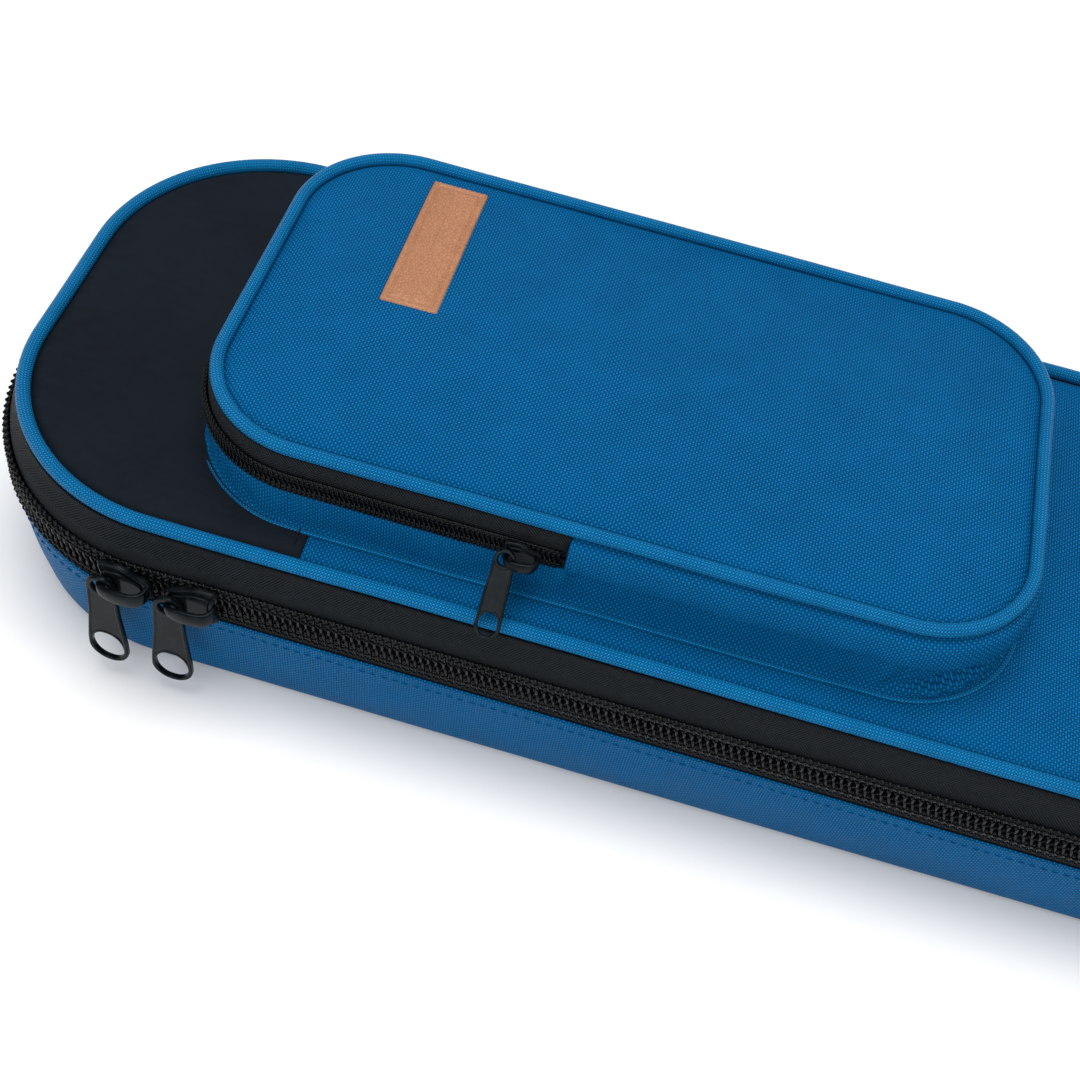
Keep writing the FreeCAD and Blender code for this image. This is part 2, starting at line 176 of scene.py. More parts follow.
def mesh_object(name, verts, faces, uvs=None):
    mesh = bpy.data.meshes.new(name)
    mesh.from_pydata([tuple(v) for v in verts], [], faces)
    mesh.polygons.foreach_set("use_smooth", [True] * len(mesh.polygons))
    if uvs is not None:
        layer = mesh.uv_layers.new(name="UVMap")
        layer.data.foreach_set("uv", np.asarray(uvs, np.float32).ravel())
    mesh.update()
    return linked(name, mesh)


def linked(name, data):
    """A new object in the scene."""
    piece = bpy.data.objects.new(name, data)
    bpy.context.scene.collection.objects.link(piece)
    return piece


def grid_object(name, points, around=False, over=False, u=None, v=None):
    """A mesh over a grid of points.

    around joins its last row to its first, and over its last column to its first.
    u and v are the texture lengths of the rows and columns, in metres."""
    n, m = points.shape[:2]
    u = np.arange(n + 1) * PATH_STEP if u is None else np.asarray(u)
    v = np.arange(m + 1) * PATH_STEP if v is None else np.asarray(v)
    rows, columns = n if around else n - 1, m if over else m - 1
    i, j = np.meshgrid(np.arange(rows), np.arange(columns), indexing="ij")
    i, j = i.ravel(), j.ravel()
    i1, j1 = (i + 1) % n, (j + 1) % m
    faces = np.stack([i * m + j, i1 * m + j, i1 * m + j1, i * m + j1], 1).tolist()
    corners = ((i, j), (i + 1, j), (i + 1, j + 1), (i, j + 1))
    uv = np.stack([np.stack([u[a], v[b]], 1) for a, b in corners], 1)
    uv = uv.reshape(-1, 2)
    if over and not around:
        faces.append(list(range(m)))
        faces.append([(n - 1) * m + k for k in range(m)][::-1])
        uv = np.concatenate([uv, np.zeros((2 * m, 2))])
    return mesh_object(name, points.reshape(-1, 3), faces, uv)


def lengths(points, closed):
    """Running length along points, with one more for the closing stretch."""
    steps = np.linalg.norm(np.diff(points, axis=0), axis=1)
    total = np.concatenate([[0.0], np.cumsum(steps)])
    closing = np.linalg.norm(points[0] - points[-1]) if closed else PATH_STEP
    return np.append(total, total[-1] + closing)


def smooth_line(points, count):
    """A smooth Catmull-Rom line through a few points, with count points."""
    p = np.asarray(points, float)
    p = np.vstack([2 * p[0] - p[1], p, 2 * p[-1] - p[-2]])
    spans = len(p) - 3
    t = np.linspace(0, spans, count)
    k = np.minimum(t.astype(int), spans - 1)
    f = (t - k)[:, None]
    a, b, c, d = p[k], p[k + 1], p[k + 2], p[k + 3]
    return 0.5 * (2 * b + (c - a) * f + (2 * a - 5 * b + 4 * c - d) * f**2 + (3 * b - a - 3 * c + d) * f**3)


def ring_profile(grow, z, radius, count=16, flat=1.0):
    """A round profile about (grow, z)."""
    angle = turns(count)
    return np.stack([grow + radius * flat * np.cos(angle), z + radius * np.sin(angle)], 1)


def band_profile(points, thickness, count=12):
    """A closed profile: a smooth outer line and the same line set in by the thickness."""
    outer = smooth_line(points, count)
    inner = outer + left_of(outer) * thickness
    return np.concatenate([outer, inner[::-1]])


def directions(line):
    """The unit direction of a line at each of its points."""
    way = np.gradient(line, axis=0)
    return way / np.linalg.norm(way, axis=1)[:, None]


def left_of(line):
    """The unit direction to the left of a flat line at each of its points."""
    way = directions(line)
    return np.stack([-way[:, 1], way[:, 0]], 1)


def swept_points(outline, stations, profile):
    """Points of a profile of (grow, z) carried along an outline, the same or its own at each station."""
    place, out = outline.at(stations)
    profile = np.asarray(profile)
    if profile.ndim == 2:
        profile = np.repeat(profile[None], len(stations), axis=0)
    xy = place[:, None] + out[:, None] * profile[:, :, :1]
    return np.concatenate([xy, profile[:, :, 1:]], axis=2)


def closed_sweep(name, outline, stations, points, section):
    """A ring of points round a whole outline, with its texture running along it."""
    return grid_object(name, points, True, True, np.append(stations, outline.length), lengths(section, True))


def sweep(name, outline, profile, stations=None, over=True):
    around = stations is None
    stations = outline.stations() if around else stations
    profile = np.asarray(profile)
    points = swept_points(outline, stations, profile)
    section = profile if profile.ndim == 2 else profile[len(profile) // 2]
    u = np.append(stations, outline.length if around else stations[-1])
    return grid_object(name, points, around, over, u, lengths(section, over))


def noise_field(points, size, seed):
    """Smooth noise, about -1 to 1, at each of the points."""
    flat = np.asarray(points).reshape(-1, 3)
    offset = Vector((seed * 7.31, seed * 3.17, seed * 5.93))
    values = [noise.noise(Vector(p) / size + offset) for p in flat]
    return np.array(values).reshape(np.asarray(points).shape[:-1])


def panel_points(outline, edge_grow, rings, easing=1.6):
    """Rings of points that fill an outline from its edge to its middle line, and their depth in it."""
    stations = outline.stations()
    place, out = outline.at(stations)
    edge = place + out * edge_grow
    reach = outline.half[0] - outline.half[1]
    spine = np.zeros_like(edge)
    spine[:, 0] = np.clip(edge[:, 0] - outline.middle[0], -reach, reach) + outline.middle[0]
    spine[:, 1] = outline.middle[1]
    share = (np.linspace(0, 1, rings) ** easing * 0.985)[None, :, None]
    xy = edge[:, None] * (1 - share) + spine[:, None] * share
    return xy, outline_depth(outline, xy)


def outline_depth(outline, xy):
    """How far inside an outline points lie."""
    q = np.abs(xy - outline.middle) - outline.straight
    outside = np.linalg.norm(np.maximum(q, 0), axis=-1) + np.minimum(q.max(axis=-1), 0)
    return outline.corner - outside


def panel_object(name, xy, z):
    """A filled panel over rings of points, with its texture laid flat along X and Y."""
    n, m = xy.shape[:2]
    verts = with_height(xy, z).reshape(-1, 3)
    i, j = np.meshgrid(np.arange(n), np.arange(m - 1), indexing="ij")
    i, j = i.ravel(), j.ravel()
    i1 = (i + 1) % n
    faces = np.stack([i * m + j, i1 * m + j, i1 * m + j + 1, i * m + j + 1], 1).tolist()
    faces.append([k * m + m - 1 for k in range(n)])
    order = np.concatenate([np.array(f) for f in faces])
    return mesh_object(name, verts, faces, verts[order][:, :2])


def with_height(xy, z):
    return np.concatenate([xy, z[..., None]], axis=2)


def thicken(piece, thickness=CLOTH):
    """Gives a sheet its thickness, behind its face."""
    solid = piece.modifiers.new("thickness", "SOLIDIFY")
    solid.thickness = thickness
    solid.offset = -1.0
    solid.use_quality_normals = True
    return piece


def cut_sheet(piece, name, x, keep_above):
    """A copy of a sheet with only its part on one side of x."""
    copy = linked(name, piece.data.copy())
    cut_across(copy, [x], clear_outer=not keep_above, clear_inner=keep_above)
    return copy


def cut_across(piece, places, **clear):
    """Cuts lines into a mesh across the case, at each of the places along it."""
    work = bmesh.new()
    work.from_mesh(piece.data)
    for x in places:
        whole = work.verts[:] + work.edges[:] + work.faces[:]
        bmesh.ops.bisect_plane(work, geom=whole, plane_co=(x, 0, 0), plane_no=(1, 0, 0), **clear)
    work.to_mesh(piece.data)
    work.free()


def merged(name, pieces, outward=False):
    """Several pieces or meshes as one piece, which keeps their texture coordinates."""
    work = bmesh.new()
    for part in pieces:
        work.from_mesh(part if isinstance(part, bpy.types.Mesh) else part.data)
    if outward:
        bmesh.ops.recalc_face_normals(work, faces=work.faces[:])
    mesh = bpy.data.meshes.new(name)
    work.to_mesh(mesh)
    work.free()
    for part in pieces:
        if not isinstance(part, bpy.types.Mesh):
            remove(part)
    return linked(name, mesh)


def applied(piece):
    """The piece with its modifiers applied."""
    graph = bpy.context.evaluated_depsgraph_get()
    mesh = bpy.data.meshes.new_from_object(piece.evaluated_get(graph))
    piece.modifiers.clear()
    piece.data = mesh
    return piece


def remove(piece):
    bpy.data.objects.remove(piece, do_unlink=True)


def upside_down(piece):
    """Turns a piece over at z = 0, with its faces still outward."""
    piece.data.transform(Matrix.Diagonal((1, 1, -1, 1)))
    piece.data.flip_normals()
    return piece


def settle(piece, body, material, replaces=()):
    """Gives a finished piece its material and its CAD body, and hides the CAD nodes it stands for."""
    piece.data.materials.clear()
    piece.data.materials.append(material)
    if replaces:
        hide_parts(*replaces)
    if isinstance(body, str):
        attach(piece, body)
    return piece


# ---------------------------------------------------------------- materials


class Finish:
    """A procedural material in the making."""

    def __init__(self, name, **values):
        self.material = bpy.data.materials.new(name)
        self.material.use_nodes = True
        self.tree = self.material.node_tree
        self.shader = self.tree.nodes["Principled BSDF"]
        for socket, value in values.items():
            self.shader.inputs[socket.replace("_", " ")].default_value = value

    def node(self, kind, **settings):
        made = self.tree.nodes.new(kind)
        for key, value in settings.items():
            setattr(made, key, value)
        return made

    def put(self, value, socket):
        if isinstance(value, bpy.types.NodeSocket):
            self.tree.links.new(value, socket)
        else:
            socket.default_value = value

    def math(self, operation, a, b=0.0, c=0.0):
        made = self.node("ShaderNodeMath", operation=operation)
        for value, socket in zip((a, b, c), made.inputs):
            self.put(value, socket)
        return made.outputs[0]

    def mix(self, factor, a, b):
        made = self.node("ShaderNodeMix", data_type="RGBA")
        for value, socket in ((factor, 0), (a, 6), (b, 7)):
            self.put(value if socket == 0 or hasattr(value, "name") else (*value, 1.0), made.inputs[socket])
        return made.outputs[2]

    def uv(self, turn=0.0, cell=MM):
        """Texture coordinates along and across the cloth, in cells, turned by an angle."""
        mapping = self.node("ShaderNodeMapping")
        mapping.inputs["Rotation"].default_value = (0, 0, turn)
        mapping.inputs["Scale"].default_value = (1 / cell, 1 / cell, 1 / cell)
        self.put(self.node("ShaderNodeTexCoord").outputs["UV"], mapping.inputs["Vector"])
        split = self.node("ShaderNodeSeparateXYZ")
        self.put(mapping.outputs[0], split.inputs[0])
        return split.outputs[0], split.outputs[1]

    def over_object(self, kind, size, stretch=(1, 1, 1), **settings):
        """A texture over the object's own space, with features of a given size in metres."""
        mapping = self.node("ShaderNodeMapping")
        mapping.inputs["Scale"].default_value = tuple(s / size for s in stretch)
        self.put(self.node("ShaderNodeTexCoord").outputs["Object"], mapping.inputs["Vector"])
        made = self.node(kind, **settings)
        self.put(mapping.outputs[0], made.inputs["Vector"])
        made.inputs["Scale"].default_value = 1.0
        return made

    def noise(self, size, detail=3.0, rough=0.5, stretch=(1, 1, 1)):
        made = self.over_object("ShaderNodeTexNoise", size, stretch)
        made.inputs["Detail"].default_value = detail
        made.inputs["Roughness"].default_value = rough
        return made.outputs[0]

    def span(self, value, low, high, to_low=0.0, to_high=1.0):
        made = self.node("ShaderNodeMapRange")
        for socket, number in zip(made.inputs, (value, low, high, to_low, to_high)):
            self.put(number, socket)
        return made.outputs[0]

    def bump(self, height, depth, strength=1.0):
        made = self.node("ShaderNodeBump")
        made.inputs["Distance"].default_value = depth
        made.inputs["Strength"].default_value = strength
        self.put(height, made.inputs["Height"])
        self.put(made.outputs[0], self.shader.inputs["Normal"])

    def colour(self, value):
        self.put(value, self.shader.inputs["Base Color"])

    def roughness(self, value):
        self.put(value, self.shader.inputs["Roughness"])


def hump(f, x):
    """0 at the edges of each cell and 1 in its middle."""
    return f.math("SINE", f.math("MULTIPLY", f.math("FRACT", x), math.pi))


def woven(name, deep, bright, cell, depth, turn=0.0, rough=(0.38, 0.5), blotch=0.04, **values):
    """Plain weave of flat yarns: each cell shows a warp or a weft yarn, with shaded gaps between."""
    f = Finish(name, **values)
    u, v = f.uv(turn, cell)
    hump_u, hump_v = hump(f, u), hump(f, v)
    step = f.math("ADD", f.math("FLOOR", u), f.math("FLOOR", v))
    over = f.math("FRACT", f.math("MULTIPLY", step, 0.5))
    over = f.math("MULTIPLY", over, 2.0)
    warp = f.math("MULTIPLY", hump_u, f.math("MULTIPLY_ADD", hump_v, 0.45, 0.55))
    weft = f.math("MULTIPLY", hump_v, f.math("MULTIPLY_ADD", hump_u, 0.45, 0.55))
    yarn = f.math("ADD", f.math("MULTIPLY", warp, over),
                  f.math("MULTIPLY", weft, f.math("SUBTRACT", 1.0, over)))
    fibres_u = f.math("SINE", f.math("MULTIPLY", u, 2 * math.pi * 5))
    fibres_v = f.math("SINE", f.math("MULTIPLY", v, 2 * math.pi * 5))
    fibres = f.math("ADD", f.math("MULTIPLY", fibres_u, over),
                    f.math("MULTIPLY", fibres_v, f.math("SUBTRACT", 1.0, over)))
    slub = f.noise(9 * MM, 4.0, 0.6)
    cloud = f.noise(70 * MM, 2.0, 0.5)
    # Colour follows the yarns' humps: painted shade between the yarns, painted highlight on their tops.
    shade = f.math("MULTIPLY", yarn, f.math("MULTIPLY_ADD", over, 0.5, 0.45))
    shade = f.math("ADD", shade, f.span(slub, 0.3, 0.7, -blotch, blotch))
    shade = f.math("ADD", shade, f.span(cloud, 0.3, 0.7, -blotch * 0.6, blotch * 0.6))
    f.colour(f.mix(shade, deep, bright))
    f.roughness(f.math("ADD", f.span(slub, 0.25, 0.75, *rough), f.math("MULTIPLY", over, -0.05)))
    f.bump(f.math("MULTIPLY_ADD", fibres, 0.06, yarn), depth)
    return f.material


def herringbone(name, deep, bright, pitch, band, depth, **values):
    """Zipper tape: slanting ribs that change direction from band to band."""
    f = Finish(name, **values)
    u, v = f.uv(0.0, pitch)
    lane = f.math("FRACT", f.math("MULTIPLY", f.math("FLOOR", f.math("DIVIDE", v, band / pitch)), 0.5))
    way = f.math("MULTIPLY_ADD", lane, 4.0, -1.0)
    rib = hump(f, f.math("ADD", u, f.math("MULTIPLY", v, way)))
    speck = f.noise(1.5 * MM, 3.0, 0.7)
    # Colour follows the ribs: painted highlight on their tops, painted shade between them.
    shade = f.math("MULTIPLY_ADD", rib, 0.75, f.span(speck, 0.3, 0.7, -0.1, 0.2))
    f.colour(f.mix(shade, deep, bright))
    f.roughness(f.span(speck, 0.3, 0.7, 0.5, 0.68))
    f.bump(rib, depth)
    return f.material


def ribbed(name, deep, bright, pitch, depth, across=0.25, **values):
    """Webbing or binding: firm ribs across it, with fine yarns along it."""
    f = Finish(name, **values)
    u, v = f.uv(0.0, pitch)
    rib = hump(f, u)
    yarn = hump(f, f.math("MULTIPLY_ADD", v, 1.6, f.math("MULTIPLY", f.math("FLOOR", u), 0.5)))
    height = f.math("MULTIPLY_ADD", yarn, across, rib)
    fuzz = f.noise(2 * MM, 3.0, 0.7)
    # Colour follows the ribs' height: painted shade in the grooves, painted highlight on the ribs.
    shade = f.math("MULTIPLY_ADD", height, 0.6, f.span(fuzz, 0.3, 0.7, -0.08, 0.18))
    f.colour(f.mix(shade, deep, bright))
    f.roughness(f.span(fuzz, 0.3, 0.7, 0.5, 0.7))
    f.bump(height, depth)
    return f.material


def softshell():
    """Smooth dense cloth with a faint nap."""
    f = Finish("black_softshell", Sheen_Weight=0.03, Sheen_Roughness=0.5, Sheen_Tint=(0.35, 0.45, 0.6, 1),
               Specular_IOR_Level=0.08)
    u, v = f.uv(math.radians(45), 0.45 * MM)
    knit = f.math("MULTIPLY", hump(f, u), hump(f, v))
    nap = f.noise(6 * MM, 5.0, 0.65, (1, 2.2, 1))
    cloud = f.noise(45 * MM, 3.0, 0.5)
    # The knit term paints shade between the knit's loops and highlight on them.
    shade = f.math("ADD", f.math("MULTIPLY", knit, 0.3), f.span(nap, 0.3, 0.7, 0.0, 0.45))
    shade = f.math("ADD", shade, f.span(cloud, 0.3, 0.7, -0.1, 0.25))
    f.colour(f.mix(shade, (0.003, 0.005, 0.008), (0.009, 0.014, 0.022)))
    f.roughness(f.span(nap, 0.3, 0.7, 0.62, 0.8))
    f.bump(f.math("MULTIPLY_ADD", knit, 0.4, nap), 0.12 * MM, 0.6)
    return f.material


def nylon(name, deep, bright, rough):
    """Moulded coil: glossy, with a little drawn-out variation along the wire."""
    f = Finish(name, Specular_IOR_Level=0.16)
    streak = f.noise(1.2 * MM, 3.0, 0.6)
    dust = f.noise(14 * MM, 3.0, 0.6)
    f.colour(f.mix(f.span(dust, 0.35, 0.75), deep, bright))
    f.roughness(f.math("ADD", f.span(streak, 0.3, 0.7, *rough), f.span(dust, 0.4, 0.8, 0.0, 0.12)))
    f.bump(streak, 0.05 * MM, 0.4)
    return f.material


def enamel():
    """Glossy black paint on die-cast metal, orange-peeled and rubbed a little grey in places."""
    f = Finish("black_enamel", Coat_Weight=0.04, Coat_Roughness=0.08, Specular_IOR_Level=0.07,
               Specular_Tint=(0.7, 0.88, 1.0, 1))
    peel = f.noise(1.6 * MM, 2.0, 0.5)
    rub = f.noise(4 * MM, 4.0, 0.65)
    f.colour(f.mix(f.span(rub, 0.45, 0.75), (0.002, 0.003, 0.004), (0.011, 0.014, 0.016)))
    f.roughness(f.span(rub, 0.3, 0.8, 0.14, 0.28))
    f.bump(peel, 0.08 * MM, 0.25)
    return f.material


def leather():
    """Pale brown leather, pebbled and darker in its grain."""
    f = Finish("brown_label", Specular_IOR_Level=0.4)
    cells = f.over_object("ShaderNodeTexVoronoi", 0.9 * MM, feature="DISTANCE_TO_EDGE")
    grain = f.span(cells.outputs[0], 0.0, 0.18)
    cloud = f.noise(12 * MM, 4.0, 0.6)
    tone = f.mix(f.span(cloud, 0.3, 0.7), (0.36, 0.155, 0.075), (0.44, 0.20, 0.10))
    f.colour(f.mix(f.math("MULTIPLY_ADD", grain, 0.6, 0.4), (0.2, 0.08, 0.035), tone))
    f.roughness(f.span(cloud, 0.3, 0.7, 0.45, 0.6))
    f.bump(grain, 0.08 * MM, 0.5)
    return f.material


def thread(name, deep, bright):
    """Twisted sewing thread."""
    f = Finish(name, Sheen_Weight=0.01, Specular_IOR_Level=0.08)
    u, _ = f.uv(math.radians(35), 0.22 * MM)
    ply = hump(f, u)
    # Colour follows the ply: painted shade in the twist's grooves, painted highlight on the plies.
    f.colour(f.mix(ply, deep, bright))
    f.roughness(f.span(ply, 0.0, 1.0, 0.6, 0.42))
    f.bump(ply, 0.08 * MM)
    return f.material


def floor_material():
    f = Finish("studio_floor", Specular_IOR_Level=0.2)
    cloud = f.noise(0.4, 2.0, 0.5)
    f.colour(f.mix(cloud, (0.9, 0.9, 0.9), (0.94, 0.94, 0.94)))
    f.roughness(f.span(cloud, 0.3, 0.7, 0.75, 0.85))
    return f.material


# deep is painted shade between a weave's yarns, bright the painted highlight on their tops.
OXFORD_DEEP, OXFORD_BRIGHT = (0.0003, 0.03, 0.1), (0.006, 0.2, 0.5)
OXFORD = woven("blue_oxford", OXFORD_DEEP, OXFORD_BRIGHT, 0.72 * MM, 0.24 * MM, rough=(0.34, 0.44),
               Sheen_Weight=0.02, Sheen_Roughness=0.4, Sheen_Tint=(0.1, 0.6, 1.0, 1),
               Specular_Tint=(0.12, 0.7, 1.0, 1), Specular_IOR_Level=0.04)
PIPING_CLOTH = woven("blue_piping", (0.0006, 0.045, 0.145), (0.01, 0.27, 0.6), 0.6 * MM, 0.2 * MM,
                     math.radians(45), rough=(0.3, 0.4), Sheen_Weight=0.02, Sheen_Tint=(0.1, 0.6, 1.0, 1),
                     Specular_Tint=(0.2, 0.75, 1.0, 1), Specular_IOR_Level=0.12)
SOFTSHELL = softshell()
# The tape's deep colour is painted shade between its ribs, its bright one painted highlight on them.
TAPE = herringbone("black_zip_tape", (0.0008, 0.001, 0.0013), (0.02, 0.025, 0.03), 0.9 * MM, 4.4 * MM,
                   0.3 * MM, Sheen_Weight=0.01, Specular_IOR_Level=0.06)
COIL = nylon("black_zip_coil", (0.002, 0.0025, 0.003), (0.008, 0.009, 0.01), (0.13, 0.22))
ENAMEL = enamel()
LEATHER = leather()
# The lining's two colours are also painted shade between its yarns and painted highlight on them.
LINING = woven("black_lining", (0.004, 0.0045, 0.005), (0.024, 0.025, 0.028), 0.5 * MM, 0.06 * MM,
               rough=(0.5, 0.65), Specular_IOR_Level=0.2)
# For binding and webbing, deep is painted shade between the ribs, bright painted highlight on them.
BINDING = ribbed("black_binding", (0.002, 0.002, 0.0025), (0.028, 0.029, 0.032), 0.9 * MM, 0.2 * MM,
                 Sheen_Weight=0.04, Specular_IOR_Level=0.15)
WEBBING = ribbed("black_webbing", (0.002, 0.002, 0.0025), (0.03, 0.031, 0.034), 1.3 * MM, 0.35 * MM, 0.4,
                 Sheen_Weight=0.05, Specular_IOR_Level=0.18)
# A thread's deep colour is painted shade in its twist, its bright one painted highlight on the plies.
BLUE_THREAD = thread("blue_thread", (0.001, 0.04, 0.13), (0.006, 0.14, 0.38))
BLACK_THREAD = thread("black_thread", (0.002, 0.002, 0.0025), (0.011, 0.012, 0.014))


# ---------------------------------------------------------------- stitching and coils


def tube_along(paths, radius, sides=6):
    """Vertices, faces and texture lengths of round threads along several short paths."""
    verts, faces, uvs = [], [], []
    turn = turns(sides)
    across = 2 * math.pi * radius / sides
    for path in paths:
        way = directions(path)
        side = np.cross(way, (0.31, 0.17, 0.93))
        side /= np.linalg.norm(side, axis=1)[:, None]
        up = np.cross(side, way)
        start, rows = len(verts), len(path)
        taper = np.ones(rows)
        taper[[0, -1]] = 0.45
        ring = side[:, None] * np.cos(turn)[None, :, None] + up[:, None] * np.sin(turn)[None, :, None]
        verts.extend((path[:, None] + ring * radius * taper[:, None, None]).reshape(-1, 3))
        along = lengths(path, False)
        for i in range(rows - 1):
            row = start + i * sides
            for j in range(sides):
                k = (j + 1) % sides
                faces.append([row + j, row + k, row + sides + k, row + sides + j])
                corners = ((i, j), (i, j + 1), (i + 1, j + 1), (i + 1, j))
                uvs.extend([(along[a], b * across) for a, b in corners])
        faces.append([start + j for j in range(sides)][::-1])
        faces.append([start + (rows - 1) * sides + j for j in range(sides)])
        uvs.extend([(0, 0)] * (2 * sides))
    return verts, faces, uvs


def stitch_row(name, line, out, body, material=BLUE_THREAD, length=2.3 * MM,
               pitch=3.0 * MM, radius=0.2 * MM, seed=1):
    """Topstitches along a line of points. out is the cloth's outward direction at each point."""
    rng = np.random.default_rng(seed)
    along = lengths(line, False)[:-1]
    count = int((along[-1] - length) / pitch)
    paths = []
    for k in range(count):
        s = along[0] + k * pitch + pitch / 2 + np.linspace(0, length * rng.uniform(0.92, 1.04), 5)
        point = np.stack([np.interp(s, along, line[:, a]) for a in range(3)], 1)
        normal = np.stack([np.interp(s, along, out[:, a]) for a in range(3)], 1)
        rise = radius * np.array([-1.3, 0.1, 0.45, 0.1, -1.3])
        paths.append(point + normal * rise[:, None])
    piece = mesh_object(name, *tube_along(paths, radius))
    return settle(piece, body, material)


def helix_coil(name, outline, start, end, pitch, wire, z_low, z_high, grow, depth, phase, per_turn=14):
    """One side of a zipper: nylon wire wound flat along the outline, from z_low to z_high."""
    count = int((end - start) / pitch)
    t = np.arange(count * per_turn + 1) * 2 * math.pi / per_turn
    z = (z_low + z_high) / 2 + squared(np.cos(t), 0.62) * ((z_high - z_low) / 2 - wire)
    g = grow + squared(np.sin(t), 0.62) * (depth / 2 - wire)
    s = start + (t / (2 * math.pi) + phase + 0.18 * np.sin(t)) * pitch
    place, out = outline.at(s)
    path = np.concatenate([place + out * g[:, None], z[:, None]], axis=1)
    return mesh_object(name + "_wire", *tube_along([path], wire, 6))


# ---------------------------------------------------------------- the base


def shell_object(name, outline, columns, planar):
    """A shell of rings of points, from a list of (xy rings, z rings).

    planar says for each whether its texture lies flat, seen from above, or runs along the outline."""
    points = np.concatenate([with_height(xy, z) for xy, z in columns], axis=1)
    n, m = points.shape[:2]
    flat = np.concatenate([np.full(xy.shape[1], p) for (xy, _), p in zip(columns, planar)])
    along = np.append(outline.stations(), outline.length)
    across = lengths(points[0], False)
    faces, uvs = [], []
    for i in range(n):
        k = (i + 1) % n
        for j in range(m - 1):
            faces.append([i * m + j, k * m + j, k * m + j + 1, i * m + j + 1])
            if flat[j] and flat[j + 1]:
                corners = ((i, j), (k, j), (k, j + 1), (i, j + 1))
                uvs.extend([points[a, b, :2] for a, b in corners])
            else:
                corners = ((i, j), (i + 1, j), (i + 1, j + 1), (i, j + 1))
                uvs.extend([(along[a], across[b]) for a, b in corners])
    faces.append([i * m for i in range(n)][::-1])
    faces.append([i * m + m - 1 for i in range(n)])
    uvs.extend([points[i, 0, :2] for i in range(n)][::-1])
    uvs.extend([points[i, m - 1, :2] for i in range(n)])
    return mesh_object(name, points.reshape(-1, 3), faces, uvs)


def swept_rings(outline, profile):
    points = swept_points(outline, outline.stations(), profile)
    return points[..., :2], points[..., 2]


def wall_push(points):
    """How far the wall's cloth stands out: a slight belly, slackness, and a tug at the sliders."""
    belly = np.sin(np.pi * np.clip(points[..., 2] / WALL_TOP, 0, 1))
    slack = noise_field(points * (1, 1, 2.0), 0.05, 3) * 0.9 * MM + noise_field(points, 0.017, 4) * 0.22 * MM
    from_sliders = (points[..., 0] - SLIDERS_X) / (20 * MM)
    tug = 0.9 * MM * np.exp(-from_sliders ** 2) * (points[..., 1] < 0)
    return (slack - tug + 0.3 * MM) * belly


def base_shell():
    """The tray's outer cloth: floor and wall, with its top edge folded in over the zipper tape."""
    fold = 2.2 * MM
    outer = smooth_line([(-1.5 * MM, 0), (0.3 * MM, 0.5 * MM), (1.6 * MM, 3 * MM), (2.9 * MM, 12 * MM),
                         (4.3 * MM, 23 * MM), (5.3 * MM, WALL_TOP - fold),
                         (5.55 * MM, WALL_TOP - 0.3 * MM)], 26)
    lip = smooth_line([(5.3 * MM, WALL_TOP + 0.2 * MM), (4.9 * MM, WALL_TOP + 0.2 * MM),
                       (4.6 * MM, WALL_TOP - fold)], 5)
    inner = smooth_line([(3.9 * MM, WALL_TOP - 8 * MM), (1.8 * MM, 12 * MM), (0.4 * MM, 3.5 * MM),
                         (-1.5 * MM, 1.2 * MM)], 10)
    profile = np.concatenate([outer, lip, inner])
    xy, z = swept_rings(CASE, profile)
    _, out = CASE.at(CASE.stations())
    xy = xy + out[:, None] * wall_push(with_height(xy, z))[..., None]
    floor_xy, _ = panel_points(CASE, -1.5 * MM, 14)
    low = np.zeros(floor_xy.shape[:2])
    columns = [(floor_xy[:, :0:-1], low[:, 1:]), (xy, z), (floor_xy[:, 1:], low[:, 1:] + CLOTH)]
    piece = shell_object("base_shell", CASE, columns, (True, False, True))
    return settle(piece, "base", OXFORD, ("base_wall_fabric", "base_floor_fabric"))


def wall_stitches():
    """The row of stitches that holds the zipper's tape behind the wall."""
    below = 4.2 * MM
    stations = CASE.stations(ZIP_START + 4 * MM, ZIP_END - 4 * MM)
    place, out = CASE.at(stations)
    wall_out = 5.07 * MM
    line = np.column_stack([place + out * wall_out, np.full(len(stations), WALL_TOP - below)])
    line[:, :2] += out * wall_push(line)[:, None]
    stitch_row("base_wall_stitches", line, np.column_stack([out, np.zeros(len(out))]), "base", seed=5)


def cushion_of_rings(name, outline, edge_grow, low, high, round_off, puff, wave, rings=18, seed=1):
    """A pad that fills an outline: rounded at its edge, crowned on top, and slightly uneven."""
    xy, _ = panel_points(outline, edge_grow, rings)
    depth = outline_depth(outline, xy) + edge_grow
    inner = xy[:, 1:]
    depth = depth[:, 1:]
    top = high + puff * (1 - np.exp(-depth / (9 * MM)))
    top = top + noise_field(with_height(inner, top), 0.045, seed) * wave
    angle = np.linspace(-math.pi / 2, math.pi / 2, 9)[1:-1]
    half = (high - low) / 2
    grow = edge_grow - round_off + round_off * np.cos(angle)
    edge = np.stack([grow, low + half + half * np.sin(angle)], 1)
    edge_xy, edge_z = swept_rings(outline, edge)
    under = np.full(inner.shape[:2], low)
    columns = [(inner[:, ::-1], under), (edge_xy, edge_z), (inner, top)]
    return shell_object(name, outline, columns, (True, False, True))


